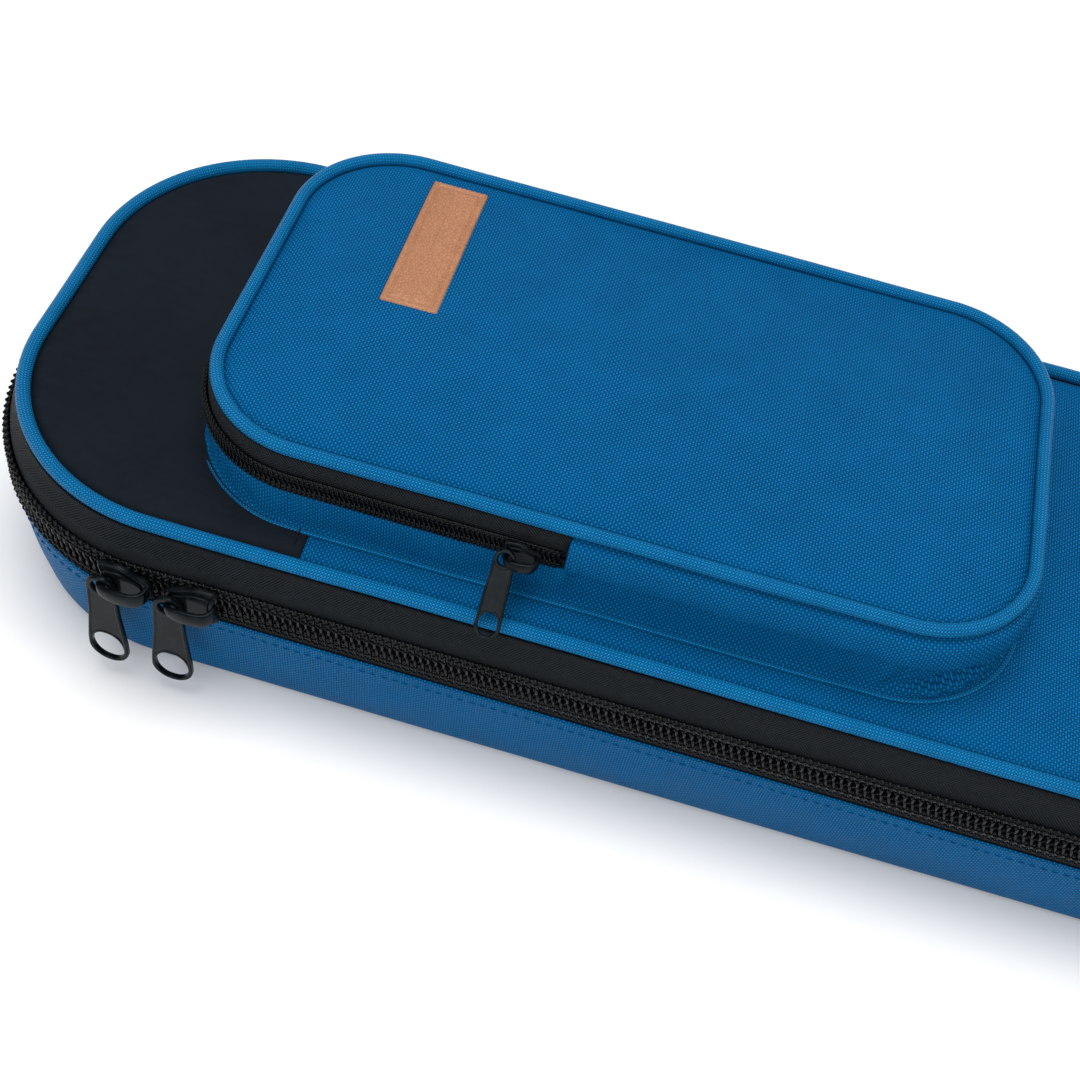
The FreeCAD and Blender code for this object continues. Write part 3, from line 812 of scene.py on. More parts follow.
def base_padding():
    """The tray's lining over its padding: a slightly crowned floor pad and a soft wall pad all round."""
    lining_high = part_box("base_wall_lining")[1].z
    floor_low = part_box("base_floor_board")[0].z
    floor_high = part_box("base_floor_lining")[1].z
    pad = cushion_of_rings("base_floor_pad", CASE, -2.6 * MM, floor_low, floor_high - 0.6 * MM, 3.0 * MM,
                           1.4 * MM, 0.5 * MM, seed=11)
    settle(pad, "base", LINING, ("base_floor_board", "base_floor_foam", "base_floor_lining"))
    top, foot = lining_high + 0.2 * MM, floor_low + 0.5 * MM
    profile = np.concatenate([
        smooth_line([(-0.3 * MM, foot), (2.0 * MM, 14 * MM), (3.9 * MM, top - 1 * MM)], 10),
        smooth_line([(3.3 * MM, top), (1.0 * MM, top), (-0.9 * MM, top - 0.8 * MM)], 5),
        smooth_line([(-1.8 * MM, top - 4 * MM), (-3.1 * MM, 20 * MM), (-4.3 * MM, 12 * MM),
                     (-4.4 * MM, foot + 5 * MM), (-2.9 * MM, foot)], 12),
    ])
    stations = CASE.stations()
    points = swept_points(CASE, stations, profile)
    _, out = CASE.at(stations)
    wave = noise_field(points, 0.03, 12) * 0.5 * MM
    wave[:, :15] = 0.0
    points[..., :2] += out[:, None] * wave[..., None]
    wall = closed_sweep("base_wall_pad", CASE, stations, points, profile)
    settle(wall, "base", LINING, ("base_wall_foam", "base_wall_lining"))


def rim_binding():
    """The tape folded over the seam between the tray's lining and its wall."""
    low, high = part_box("base_rim_binding")
    middle = np.array((1.15 * MM, (low.z + high.z) / 2 - 0.2 * MM))
    profile = middle + squared(ring_profile(0, 0, 1, 18), 0.7) * (2.25 * MM, 1.35 * MM)
    piece = sweep("base_rim_binding_tape", CASE, profile)
    settle(piece, "base", BINDING, ("base_rim_binding",))


# ---------------------------------------------------------------- the main zipper


def coil_rows(name, outline, span, box, cross, size, body, upper):
    """A coil wound round its filler cord, with the chain stitches that hold it to its tape, as one piece.

    span is where it starts and ends; cross is how far the coil reaches over the zipper's middle."""
    (start, end), (low, high) = span, box
    coil_out, depth, pitch, wire = size
    tall = high.z - low.z
    side = 1 if upper else -1
    phase = 0.5 if upper else 0.0
    z_low = low.z - (cross if upper else 0)
    z_high = high.z + (0 if upper else cross)
    grow = coil_out - depth / 2
    helix = helix_coil(name, outline, start, end, pitch, wire, z_low, z_high, grow, depth, phase)
    middle = (low.z + high.z) / 2 + side * 0.12 * tall
    core = ring_profile(0, 0, 1, 8) * (depth / 2 - wire * 1.4, tall * 0.3) + (grow, middle)
    core = sweep("core", outline, core, outline.stations(start, end))
    chains = []
    for lane in (-1, 1):
        for k in range(int((end - start) / pitch)):
            s = start + (k + phase + 0.25 + np.linspace(-0.42, 0.42, 5)) * pitch
            place, out = outline.at(s)
            lift = grow + depth / 2 + wire * np.array([-0.9, 0.1, 0.55, 0.1, -0.9])
            z = middle + lane * tall * 0.17 + np.linspace(-0.15, 0.15, 5) * pitch * lane
            chains.append(np.column_stack([place + out * lift[:, None], z]))
    stitches = mesh_object("chains", *tube_along(chains, wire * 0.62, 5))
    return settle(merged(name, [helix, core, stitches]), body, COIL)


def zip_tape(name, outline, stations, points, thickness, count, body, node):
    """One side's tape, from a few points of its section."""
    tape = sweep(name, outline, band_profile(points, thickness, count), stations)
    return settle(tape, body, TAPE, (node,))


def main_zipper():
    cross = (UPPER_COIL[0].z - LOWER_COIL[1].z) / 2 + 0.5 * MM
    size = (MAIN_COIL_OUT, 1.9 * MM, 2.04 * MM, 0.49 * MM)
    span = (ZIP_START + 2 * MM, ZIP_END - 2 * MM)
    for body, box in (("base", LOWER_COIL), ("lid", UPPER_COIL)):
        piece = coil_rows(f"{body}_coil", CASE, span, box, cross, size, body, body == "lid")
        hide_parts(f"{body}_zip_coil")
    stations = CASE.stations(ZIP_START, ZIP_END)
    lower = [(4.7 * MM, WALL_TOP - 3 * MM), (4.75 * MM, WALL_TOP + 2 * MM),
             (4.7 * MM, LOWER_COIL[1].z - 0.1 * MM)]
    zip_tape("base_tape", CASE, stations, lower, 0.8 * MM, 10, "base", "base_zip_tape")
    top = PIPING_LOW.z + 0.3 * MM
    upper = [(4.7 * MM, UPPER_COIL[0].z + 0.1 * MM), (4.75 * MM, UPPER_COIL[1].z - 0.5 * MM),
             (4.3 * MM, UPPER_COIL[1].z + 2.5 * MM), (3.0 * MM, top - 3.5 * MM), (1.9 * MM, top)]
    zip_tape("lid_tape", CASE, stations, upper, 0.8 * MM, 18, "lid", "lid_zip_tape")


# ---------------------------------------------------------------- the fabric hinge


def spine():
    """One length of cloth from the base's wall to the lid's piping."""
    inset = 1.5 * MM
    stations = np.arange(-SPINE_HALF - inset, SPINE_HALF + inset, PATH_STEP)
    profile = band_profile([(5.1 * MM, WALL_TOP - 4 * MM), (6.0 * MM, WALL_TOP + 1 * MM),
                            (6.7 * MM, ZIP_MIDDLE), (5.9 * MM, ZIP_MIDDLE + 6 * MM),
                            (3.9 * MM, PIPING_LOW.z - 3.5 * MM), (2.2 * MM, PIPING_LOW.z + 0.4 * MM)],
                           CLOTH, 26)
    points = swept_points(CASE, stations, profile)
    points[..., 1] += noise_field(points, 0.03, 21) * 0.35 * MM
    piece = grid_object("spine_cloth", points, False, True, stations, lengths(profile, True))
    settle(piece, None, OXFORD, ("spine_lower_half", "spine_upper_half"))
    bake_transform(piece)


# ---------------------------------------------------------------- the lid


def crowned(outline, xy, start, ease, dip, rise, crown):
    """Heights of a soft panel: low at its seam, rising over a short way, then slowly to its crown."""
    depth = np.maximum(outline_depth(outline, xy) - start, 0)
    return rise * (1 - np.exp(-depth / ease)) + crown * (1 - np.exp(-depth / (9 * MM))) - dip


def lid_height(xy):
    """The lid's outer face: it dips beside the piping and rises to a soft crown."""
    return LID_TOP + crowned(CASE, xy, 1.2 * MM, 1.6 * MM, 1.9 * MM, 1.7 * MM, 1.1 * MM)


def lid_wave(points):
    depth = outline_depth(CASE, points[..., :2])
    return noise_field(points * (1, 1, 0), 0.06, 31) * 0.45 * MM * smooth_step(depth / (12 * MM))


def lid_panels():
    """The middle panel, and the two end panels lapped over it and sewn down."""
    xy, _ = panel_points(CASE, -0.8 * MM, 34, 1.7)
    z = lid_height(xy)
    z = z + lid_wave(with_height(xy, z))
    whole = panel_object("lid_whole", xy, z)
    lap = PANEL_SEAM + 2 * MM
    half = cut_sheet(whole, "cut", -lap, True)
    middle = thicken(cut_sheet(half, "lid_panel_middle_cloth", lap, False))
    remove(half)
    settle(middle, "lid", OXFORD, ("lid_panel_middle",))
    for side, name in ((-1, "left"), (1, "right")):
        end_panel(whole, side, name)
        seam_stitches(side, name)
    remove(whole)


def end_panel(whole, side, name):
    piece = cut_sheet(whole, f"lid_panel_{name}_cloth", side * PANEL_SEAM, side > 0)
    for vertex in piece.data.vertices:
        inside = abs(vertex.co.x) - PANEL_SEAM
        lift = 0.15 * MM + 0.75 * MM * (1 - math.exp(-inside / (1.5 * MM)))
        vertex.co.z += lift * smooth_step(outline_depth(CASE, np.array(vertex.co[:2])) / (5 * MM))
    settle(thicken(piece), "lid", SOFTSHELL, (f"lid_panel_{name}_end",))


def seam_stitches(side, name):
    y = np.arange(-SEAM_STITCH_HALF, SEAM_STITCH_HALF, 2 * MM)
    line = np.stack([np.full(len(y), side * (PANEL_SEAM + SEAM_STITCH_INSET)), y], 1)
    line = np.column_stack([line, lid_height(line) + 0.95 * MM])
    stitch_row(f"lid_seam_stitches_{name}", line, np.tile((0.0, 0.0, 1.0), (len(y), 1)), "lid", BLACK_THREAD,
               seed=7)


def piping_cord(name, outline, stations, top, radius, around, sizes, seeds, swell):
    """A covered cord along an outline.

    sizes and seeds are for its line's wandering out and up; swell is its girth at each station."""
    middle = np.array((0, top))
    ring = ring_profile(0.0, top, radius, around)
    profile = (ring - middle) * swell[:, None, None] + middle
    place, _ = outline.at(stations)
    place = np.column_stack([place, np.zeros(len(place))])
    for axis, amount in ((0, 0.25 * MM), (1, 0.2 * MM)):
        profile[..., axis] += noise_field(place, sizes[axis], seeds[axis])[:, None] * amount
    points = swept_points(outline, stations, profile)
    return closed_sweep(name, outline, stations, points, ring)


def lid_piping():
    stations = CASE.stations()
    piece = piping_cord("lid_piping_cord", CASE, stations, LID_TOP, PIPING_RADIUS, 18, (0.05, 0.035),
                        (41, 42), np.ones(len(stations)))
    settle(piece, "lid", PIPING_CLOTH, ("lid_piping",))


def lid_padding():
    """The lid's padding in its lining, hung under the lid's panels."""
    low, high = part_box("lid_lining")[0].z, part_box("lid_board")[1].z
    piece = cushion_of_rings("lid_pad", CASE, 1.0 * MM, -high, -low - 0.4 * MM, 3.0 * MM, 1.0 * MM, 0.4 * MM,
                             seed=51)
    settle(upside_down(piece), "lid", LINING, ("lid_lining", "lid_foam", "lid_board"))


# ---------------------------------------------------------------- the pocket


def crease(s, z, start, end, width, depth):
    """A fold with raised sides, pressed in along a line. start and end are (distance along, height)."""
    start, end = np.array(start), np.array(end)
    way = end - start
    t = np.clip(((s - start[0]) * way[0] + (z - start[1]) * way[1]) / (way @ way), 0, 1)
    gap = np.hypot(s - start[0] - t * way[0], z - start[1] - t * way[1])
    return depth * (0.9 * np.exp(-((gap / (2.6 * width)) ** 2)) - 1.7 * np.exp(-((gap / width) ** 2)))


def long_fold(s, z, start, end, width, depth):
    """A fold of loose cloth: a narrow groove along a line and a ridge under it, fading at its ends."""
    start, end = np.array(start), np.array(end)
    way = end - start
    length = np.linalg.norm(way)
    t = ((s - start[0]) * way[0] + (z - start[1]) * way[1]) / length ** 2
    across = ((z - start[1]) * way[0] - (s - start[0]) * way[1]) / length / width
    fade = smooth_step(t / 0.3) * smooth_step((1 - t) / 0.35)
    ridge = 0.8 * np.exp(-(((across + 1.1) / 1.2) ** 2))
    groove = 1.2 * np.exp(-((across / 0.55) ** 2))
    return depth * fade * (ridge - groove)


def add_puckers(push, along, z, foot, tall):
    """Short creases that rise from the gusset's foot at each of the pocket's corners."""
    rng = np.random.default_rng(17)
    corners = ((1, 0.35), (3, 0.8), (5, 1.0), (7, 0.4))
    for k, depth in corners:
        first, last = POCKET.ends[k - 1], POCKET.ends[k]
        for t in np.linspace(0.02, 0.98, 7):
            s0 = first + (last - first) * t + rng.uniform(-2, 2) * MM
            lean = rng.uniform(-7, 7) * MM
            top = foot + tall * rng.uniform(0.6, 0.98)
            push += crease(along, z, (s0, foot + 2.2 * MM), (s0 + lean, top), rng.uniform(0.9, 1.6) * MM,
                           depth * rng.uniform(0.4, 0.9) * MM)


def add_pinch(push, along, z, foot, top):
    """The long fold at the pocket's near right corner, with a shorter one under it."""
    pinch = POCKET.ends[4] + 0.55 * (POCKET.ends[5] - POCKET.ends[4])
    push += long_fold(along, z, (pinch - 26 * MM, foot + 3 * MM), (pinch + 16 * MM, top - 1 * MM),
                      2.2 * MM, 2.2 * MM)
    push += long_fold(along, z, (pinch - 9 * MM, foot), (pinch + 20 * MM, foot + 6 * MM), 1.3 * MM, 1.1 * MM)


def pocket_gusset():
    """The pocket's side wall: flat at its foot, slack above, puckered at its corners, pinched at one."""
    zip_foot = POCKET_LOWER_COIL[0].z - 0.4 * MM
    foot = LID_TOP + 0.4 * MM
    tall = zip_foot - foot
    outer = smooth_line([(3.9 * MM, foot), (3.7 * MM, foot + 1.0 * MM), (3.1 * MM, foot + 2.2 * MM),
                         (2.8 * MM, foot + 5 * MM), (2.8 * MM, foot + 9 * MM), (3.0 * MM, zip_foot)], 34)
    profile = np.concatenate([outer, outer[::-3] + left_of(outer)[::-3] * 0.9 * MM])
    stations = POCKET.stations(step=1.0 * MM)
    points = swept_points(POCKET, stations, profile)
    _, out = POCKET.at(stations)
    along = np.repeat(stations[:, None], len(profile), axis=1)
    z = points[..., 2]
    level = np.clip((z - foot) / tall, 0, 1)
    slack = smooth_step(level / 0.25) * smooth_step((1.04 - level) / 0.2)
    push = noise_field(points * (1, 1, 0.6), 0.028, 62) * 0.8 * MM
    push += noise_field(points, 0.011, 63) * 0.25 * MM
    near, far = POCKET_FRONT
    rear = smooth_step((along - near) / (3 * MM)) * smooth_step((POCKET.length + far - along) / (3 * MM))
    push -= 2.6 * MM * rear * level
    add_puckers(push, along, z, foot, tall)
    add_pinch(push, along, z, foot, zip_foot)
    points[..., :2] += out[:, None] * (push * slack)[..., None]
    piece = closed_sweep("pocket_gusset_cloth", POCKET, stations, points, profile)
    settle(piece, "lid", OXFORD, ("pocket_gusset",))


def pocket_foot_edge():
    """The folded edge of the gusset's cloth, sewn to the lid all round."""
    stations = POCKET.stations()
    place, _ = POCKET.at(stations)
    ring = ring_profile(4.3 * MM, 0, 0.5 * MM, 10, 1.5)
    profile = np.repeat(ring[None], len(stations), axis=0)
    profile[..., 1] += lid_height(place)[:, None] + 0.4 * MM
    points = swept_points(POCKET, stations, profile)
    points[..., 2] += lid_wave(points)
    points[..., :2] += noise_field(points, 0.02, 64)[..., None] * 0.25 * MM
    piece = closed_sweep("pocket_foot_edge", POCKET, stations, points, ring)
    settle(piece, "lid", PIPING_CLOTH)


def pocket_rear_band():
    """Where the pocket has no zipper, its wall is a soft padded roll under the piping."""
    low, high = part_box("pocket_rear_band")
    near, far = POCKET_FRONT
    step = 1.5 * MM
    stations = np.arange(near, POCKET.length + far + step / 2, step)
    outer = smooth_line([(1.4 * MM, low.z - 0.2 * MM), (3.2 * MM, low.z + 0.6 * MM),
                         (4.2 * MM, low.z + 2.8 * MM), (4.3 * MM, low.z + 6 * MM),
                         (3.2 * MM, high.z - 1.6 * MM), (0.9 * MM, high.z - 0.2 * MM)], 22)
    inner = smooth_line([(0.1 * MM, high.z), (0.3 * MM, low.z + 4 * MM), (0.4 * MM, low.z - 0.1 * MM)], 8)
    profile = np.concatenate([outer, inner])
    points = swept_points(POCKET, stations, profile)
    _, out = POCKET.at(stations)
    level = np.clip((points[..., 2] - low.z) / (high.z - low.z), 0, 1)
    wave = noise_field(points, 0.02, 71) * 0.5 * MM * np.sin(np.pi * level)
    points[..., :2] += out[:, None] * wave[..., None]
    piece = grid_object("pocket_band_cloth", points, False, True, np.append(stations, stations[-1]),
                        lengths(profile, True))
    settle(piece, "lid", OXFORD, ("pocket_rear_band",))
    heights = np.linspace(low.z + 1.2 * MM, high.z - 2.0 * MM, 12)
    for end, s in (("near", stations[0] + 5 * MM), ("far", stations[-1] - 5 * MM)):
        spot, away = POCKET.at([s])
        grow = 4.25 * MM - 0.055 * (heights - heights.mean()) ** 2 / MM
        line = np.column_stack([spot + away * grow[:, None], heights])
        stitch_row(f"pocket_band_stitches_{end}", line, np.tile((*away[0], 0.0), (12, 1)), "lid",
                   length=1.5 * MM, pitch=2.0 * MM, radius=0.18 * MM, seed=23)


def flap_blend(piece):
    """Bakes the piece's placement into its mesh."""
    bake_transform(piece)


def cut_at_fold(piece):
    """Lines across a panel, close together round the fold."""
    cut_across(piece, np.linspace(FOLD_X + 4 * MM, FOLD_X - 26 * MM, 21))


def pocket_zipper():
    cross = (POCKET_UPPER_COIL[0].z - POCKET_LOWER_COIL[1].z) / 2 + 0.3 * MM
    size = (POCKET_COIL_OUT, 1.25 * MM, 1.28 * MM, 0.29 * MM)
    near, far = POCKET_FRONT
    span = (far + 1 * MM, near - 1 * MM)
    lower = coil_rows("pocket_coil_lower", POCKET, span, POCKET_LOWER_COIL, cross, size, "lid", False)
    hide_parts("pocket_zip_coil_lower")
    upper = coil_rows("pocket_coil_upper", POCKET, span, POCKET_UPPER_COIL, cross, size, None, True)
    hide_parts("pocket_zip_coil_upper")
    flap_blend(upper)
    stations = np.linspace(far, near, int((near - far) / PATH_STEP))
    foot = POCKET_LOWER_COIL[0].z
    points = [(2.2 * MM, foot - 2.5 * MM), (2.2 * MM, foot), (2.2 * MM, POCKET_LOWER_COIL[1].z)]
    zip_tape("pocket_tape_lower", POCKET, stations, points, 0.7 * MM, 8, "lid", "pocket_zip_tape_lower")
    top = POCKET_LOW.z + 0.5 * MM
    points = [(2.2 * MM, POCKET_UPPER_COIL[0].z), (2.2 * MM, POCKET_UPPER_COIL[1].z),
              (2.1 * MM, top - 1.5 * MM), (1.4 * MM, top)]
    flap_blend(zip_tape("pocket_tape_upper", POCKET, stations, points, 0.7 * MM, 10, None,
                        "pocket_zip_tape_upper"))


def pocket_height(xy):
    """The pocket's outer face: it dips beside the piping and is puffed."""
    return POCKET_TOP + crowned(POCKET, xy, 1.0 * MM, 1.5 * MM, 1.8 * MM, 1.9 * MM, 1.6 * MM)


def pocket_top():
    """The pocket's puffed top and the padding under it, with lines cut across them round the fold."""
    xy, depth = panel_points(POCKET, -0.7 * MM, 30, 1.7)
    z = pocket_height(xy)
    z = z + noise_field(with_height(xy, z), 0.045, 81) * 0.5 * MM * smooth_step(depth / (12 * MM))
    piece = applied(thicken(panel_object("pocket_top_cloth", xy, z)))
    cut_at_fold(piece)
    settle(piece, None, OXFORD, ("pocket_top_front", "pocket_top_rear"))
    flap_blend(piece)
    foam_low, foam_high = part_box("pocket_foam_front")
    pad = cushion_of_rings("pocket_top_pad", POCKET, -2.4 * MM, -foam_high.z + 0.3 * MM,
                           -foam_low.z - 0.3 * MM, 1.6 * MM, 0.6 * MM, 0.3 * MM, seed=82)
    cut_at_fold(upside_down(pad))
    settle(pad, None, LINING, ("pocket_foam_front", "pocket_foam_rear"))
    flap_blend(pad)


def pocket_piping():
    """The pocket's piping, with its cord's ends lapped at one place."""
    stations = POCKET.stations(step=2 * MM)
    joint = POCKET.ends[5] + 14 * MM
    lap = smooth_step((stations - joint) / MM) * smooth_step((joint + 5 * MM - stations) / MM)
    piece = piping_cord("pocket_piping_cord", POCKET, stations, POCKET_TOP, POCKET_PIPING_RADIUS, 16,
                        (0.04, 0.03), (91, 92), 1 + 0.09 * lap)
    settle(piece, None, PIPING_CLOTH, ("pocket_piping_front", "pocket_piping_rear"))
    flap_blend(piece)


def label():
    """A plain leather patch with a pressed border, on the flap."""
    low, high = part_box("label_patch")
    patch = Outline(low, high, 0.8 * MM)
    rings = np.array([0.0, 0.15, 0.5, 1.0, 1.5, 1.8, 2.0, 2.2, 2.5, 3.2, 4.5, 6.0, 7.4]) * MM
    heights = np.array([0.0, 0.45, 0.75, 0.85, 0.85, 0.6, 0.5, 0.6, 0.85, 0.95, 1.0, 1.0, 1.0]) * MM
    place, _ = patch.at(patch.stations(step=0.8 * MM))
    reach = np.abs(place - patch.middle)
    sign = np.sign(place - patch.middle)
    xy = np.stack([patch.middle + sign * np.minimum(reach, patch.half - inset) for inset in rings], axis=1)
    z = pocket_height(xy) + heights[None, :] - 0.15 * MM
    piece = applied(thicken(panel_object("label_leather", xy, z), 0.9 * MM))
    settle(piece, "pocket_flap", LEATHER, ("label_patch",))


# ---------------------------------------------------------------- sliders and pulls


def flat_plate(name, outlines, thickness, bevel, segments=3):
    """A plate standing in X and Z, with rounded edges. Its first outline is its edge, the others holes."""
    curve = bpy.data.curves.new(name, "CURVE")
    curve.dimensions = "2D"
    curve.fill_mode = "BOTH"
    curve.extrude = thickness / 2 - bevel
    curve.bevel_depth = bevel
    curve.bevel_resolution = segments
    curve.offset = -bevel
    for points in outlines:
        spline = curve.splines.new("POLY")
        spline.points.add(len(points) - 1)
        for k, (x, z) in enumerate(points):
            spline.points[k].co = (x, z, 0, 1)
        spline.use_cyclic_u = True
    holder = linked(name, curve)
    bpy.context.view_layer.update()
    mesh = bpy.data.meshes.new_from_object(holder.evaluated_get(bpy.context.evaluated_depsgraph_get()))
    remove(holder)
    mesh.transform(Matrix.Rotation(math.pi / 2, 4, "X"))
    return mesh


def circle(x, z, radius_x, radius_z=None, count=40):
    angle = turns(count)
    return np.stack([x + radius_x * np.cos(angle), z + (radius_z or radius_x) * np.sin(angle)], 1)


def rounded_corners(points, radius, steps=6):
    """A polygon with its corners rounded."""
    p = np.asarray(points, float)
    result = []
    for k in range(len(p)):
        a, b, c = p[k - 1], p[k], p[(k + 1) % len(p)]
        to_a, to_c = (a - b) / np.linalg.norm(a - b), (c - b) / np.linalg.norm(c - b)
        r = min(radius, np.linalg.norm(a - b) * 0.45, np.linalg.norm(c - b) * 0.45)
        for t in np.linspace(0, 1, steps):
            result.append((1 - t) ** 2 * (b + to_a * r) + 2 * t * (1 - t) * b + t**2 * (b + to_c * r))
    return np.array(result)


def strap_mesh(name, middle, widths, thickness):
    """A flat strap of rounded section along a level line of points, with its width and thickness at each."""
    middle, widths = np.asarray(middle, float), np.asarray(widths, float)
    side = np.array((0.0, 0.0, 1.0))
    up = np.cross(directions(middle), side)
    across = squared(np.cos(turns(16)), 0.5)[None, :, None] * widths[:, None, None] / 2
    thick = np.broadcast_to(thickness, widths.shape)[:, None, None]
    over = squared(np.sin(turns(16)), 0.7)[None, :, None] * thick / 2
    points = middle[:, None] + side * across + up[:, None] * over
    return grid_object(name, points, False, True, lengths(middle, False)[:-1].tolist() + [0],
                       np.arange(17) * 0.5 * MM)


def joined(name, pieces):
    """One piece made of several closed parts, with outward faces and its corners sharp."""
    piece = merged(name, pieces, outward=True)
    mesh = piece.data
    mesh.polygons.foreach_set("use_smooth", [True] * len(mesh.polygons))
    mesh.set_sharp_from_angle(angle=math.radians(40))
    return piece


def moved(mesh, x=0.0, y=0.0, z=0.0):
    mesh.transform(Matrix.Translation((x, y, z)))
    return mesh


# The sliders and their pulls. gap and behind are measured from the coil's face.
MAIN_SLIDER = dict(length=15 * MM, height=13.2 * MM, plate=1.8 * MM, gap=0.4 * MM, bridge_width=5.0 * MM,
                   leg_x=5.6 * MM, leg_width=2.0 * MM, bridge_low=5.6 * MM, bridge_high=7.2 * MM,
                   behind=2.6 * MM)
POCKET_SLIDER = dict(length=10 * MM, height=8 * MM, plate=1.2 * MM, gap=0.4 * MM, bridge_width=3.2 * MM,
                     leg_x=3.6 * MM, leg_width=1.4 * MM, bridge_low=4.6 * MM, bridge_high=5.8 * MM,
                     behind=2.2 * MM)
MAIN_TAB = dict(length=37.5 * MM, eye=5.0 * MM, rim=1.5 * MM, foot_width=11.4 * MM, thickness=1.6 * MM,
                window=9.2 * MM, window_height=11.4 * MM)
POCKET_TAB = dict(length=23.5 * MM, eye=3.4 * MM, rim=1.0 * MM, foot_width=6.6 * MM, thickness=1.2 * MM,
                  window=4.9 * MM, window_height=6.2 * MM)
POCKET_TAB_TILT = math.radians(38)   # how far the pocket's pull leans out at its foot


def slider_piece(name, mouth, length, height, plate, gap, bridge_width, leg_x, leg_width, bridge_low,
                 bridge_high, behind):
    """A slider standing on the zipper: a shaped cover with a step, a plate behind, a neck, and the crown.

    mouth is -1 when its wide end faces -X and 1 when it faces +X. The coil's face is at y = 0."""
    half, tall = length / 2, height / 2
    tail = 0.62 * tall
    shape = [(mouth * half, -tall * 0.93), (mouth * half * 0.1, -tall), (-mouth * half * 0.45, -tail * 1.1),
             (-mouth * half, -tail * 0.72), (-mouth * half, tail * 0.72), (-mouth * half * 0.45, tail * 1.1),
             (mouth * half * 0.1, tall), (mouth * half, tall * 0.93), (mouth * half * 0.82, 0)]
    if mouth < 0:
        shape = shape[::-1]
    scale = length / MAIN_SLIDER["length"]
    outline = rounded_corners(shape, 2.2 * MM * scale)
    face = -gap - plate / 2
    cover = moved(flat_plate("cover", [outline], plate, plate * 0.32), y=face)
    step = moved(flat_plate("step", [outline * 0.72], plate * 0.5, plate * 0.2), y=-gap - plate * 1.08)
    back = moved(flat_plate("back", [outline * 0.97], plate * 0.9, plate * 0.3), y=behind + plate * 0.45)
    neck = flat_plate("neck", [circle(0, 0, 1.5 * MM * scale, 0.55 * MM)], behind + gap + plate, 0.1 * MM)
    neck = moved(neck, y=(behind - gap) / 2)
    top = -(bridge_low + bridge_high) / 2
    thick = bridge_high - bridge_low
    foot = -gap - plate * 0.7
    arch = [(1.16, 0), (1.1, 0.5), (0.84, 0.86), (0.35, 1), (-0.35, 1), (-0.82, 0.88), (-1.0, 0.55),
            (-1.0, 0)]
    line = smooth_line([(leg_x * a, foot + (top - foot) * b, 0) for a, b in arch], 44)
    share = np.linspace(-1, 1, 44)
    widths = leg_width + (bridge_width - leg_width) * smooth_step((0.8 - share) / 0.75)
    thickness = leg_width * 0.9 + (thick - leg_width * 0.9) * smooth_step((0.9 - share) / 0.4)
    crown = strap_mesh("crown", line, widths, thickness)
    return joined(name, [cover, step, back, neck, crown])


def inset_outline(points, distance):
    """A closed outline moved in by a distance, whichever way round it runs."""
    ahead, behind = np.roll(points, -1, axis=0), np.roll(points, 1, axis=0)
    way = ahead - behind
    way /= np.linalg.norm(way, axis=1)[:, None]
    turn = 0.5 * np.sum(points[:, 0] * ahead[:, 1] - ahead[:, 0] * points[:, 1])
    return points + np.stack([-way[:, 1], way[:, 0]], 1) * distance * np.sign(turn)


def tab_piece(name, length, eye, rim, foot_width, thickness, window, window_height):
    """A pull: an eye, a blade with a raised rim, and a thin bow round a tall window."""
    head = eye / 2 + rim
    foot = foot_width / 2
    foot_z = -(length - head) + foot
    right = smooth_line([(head * 1.0, 0), (head * 1.03, -head * 1.2), (head * 1.12, foot_z * 0.45),
                         (foot * 0.97, foot_z * 0.85), (foot, foot_z)], 24)
    bottom = [(foot * math.cos(a), foot_z - foot * math.sin(a)) for a in np.linspace(0, math.pi, 26)[1:-1]]
    top = [(head * math.cos(a), head * math.sin(a)) for a in np.linspace(math.pi, 0, 20)[1:-1]]
    outline = np.concatenate([right, bottom, right[::-1] * (-1, 1), top])
    wide = squared(np.cos(turns(56)), 0.85) * window / 2
    tall = np.sin(turns(56)) * window_height / 2
    opening = np.stack([wide * np.where(tall > 0, 1 - 0.12 * (tall / window_height), 1), tall], 1)
    opening[:, 1] += foot_z + (window_height - window) / 2
    scale = thickness / MAIN_TAB["thickness"]
    eye_hole = circle(0, 0, eye / 2)
    blade = flat_plate("blade", [outline, eye_hole, opening], thickness * 0.72, thickness * 0.15, 3)
    border = flat_plate("border", [outline, inset_outline(outline, rim * 0.62)], thickness, rim * 0.26, 4)
    ring = flat_plate("ring", [circle(0, 0, head * 0.97, count=48), eye_hole], thickness, rim * 0.28, 4)
    bow = flat_plate("bow", [inset_outline(opening, -0.9 * MM * scale), opening], thickness * 0.96,
                     0.3 * MM * scale, 4)
    return joined(name, [blade, border, ring, bow])


def enamelled(piece, matrix, node):
    """Puts a metal piece in its place, on the body that has its CAD node's name."""
    piece.data.transform(matrix)
    settle(piece, node, ENAMEL, (node,))


def middle_of(node):
    """The middle of a CAD node's box."""
    low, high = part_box(node)
    return (low + high) / 2


def tab_head(tab):
    """From the eye's middle to the top of the pull."""
    return tab["eye"] / 2 + tab["rim"]


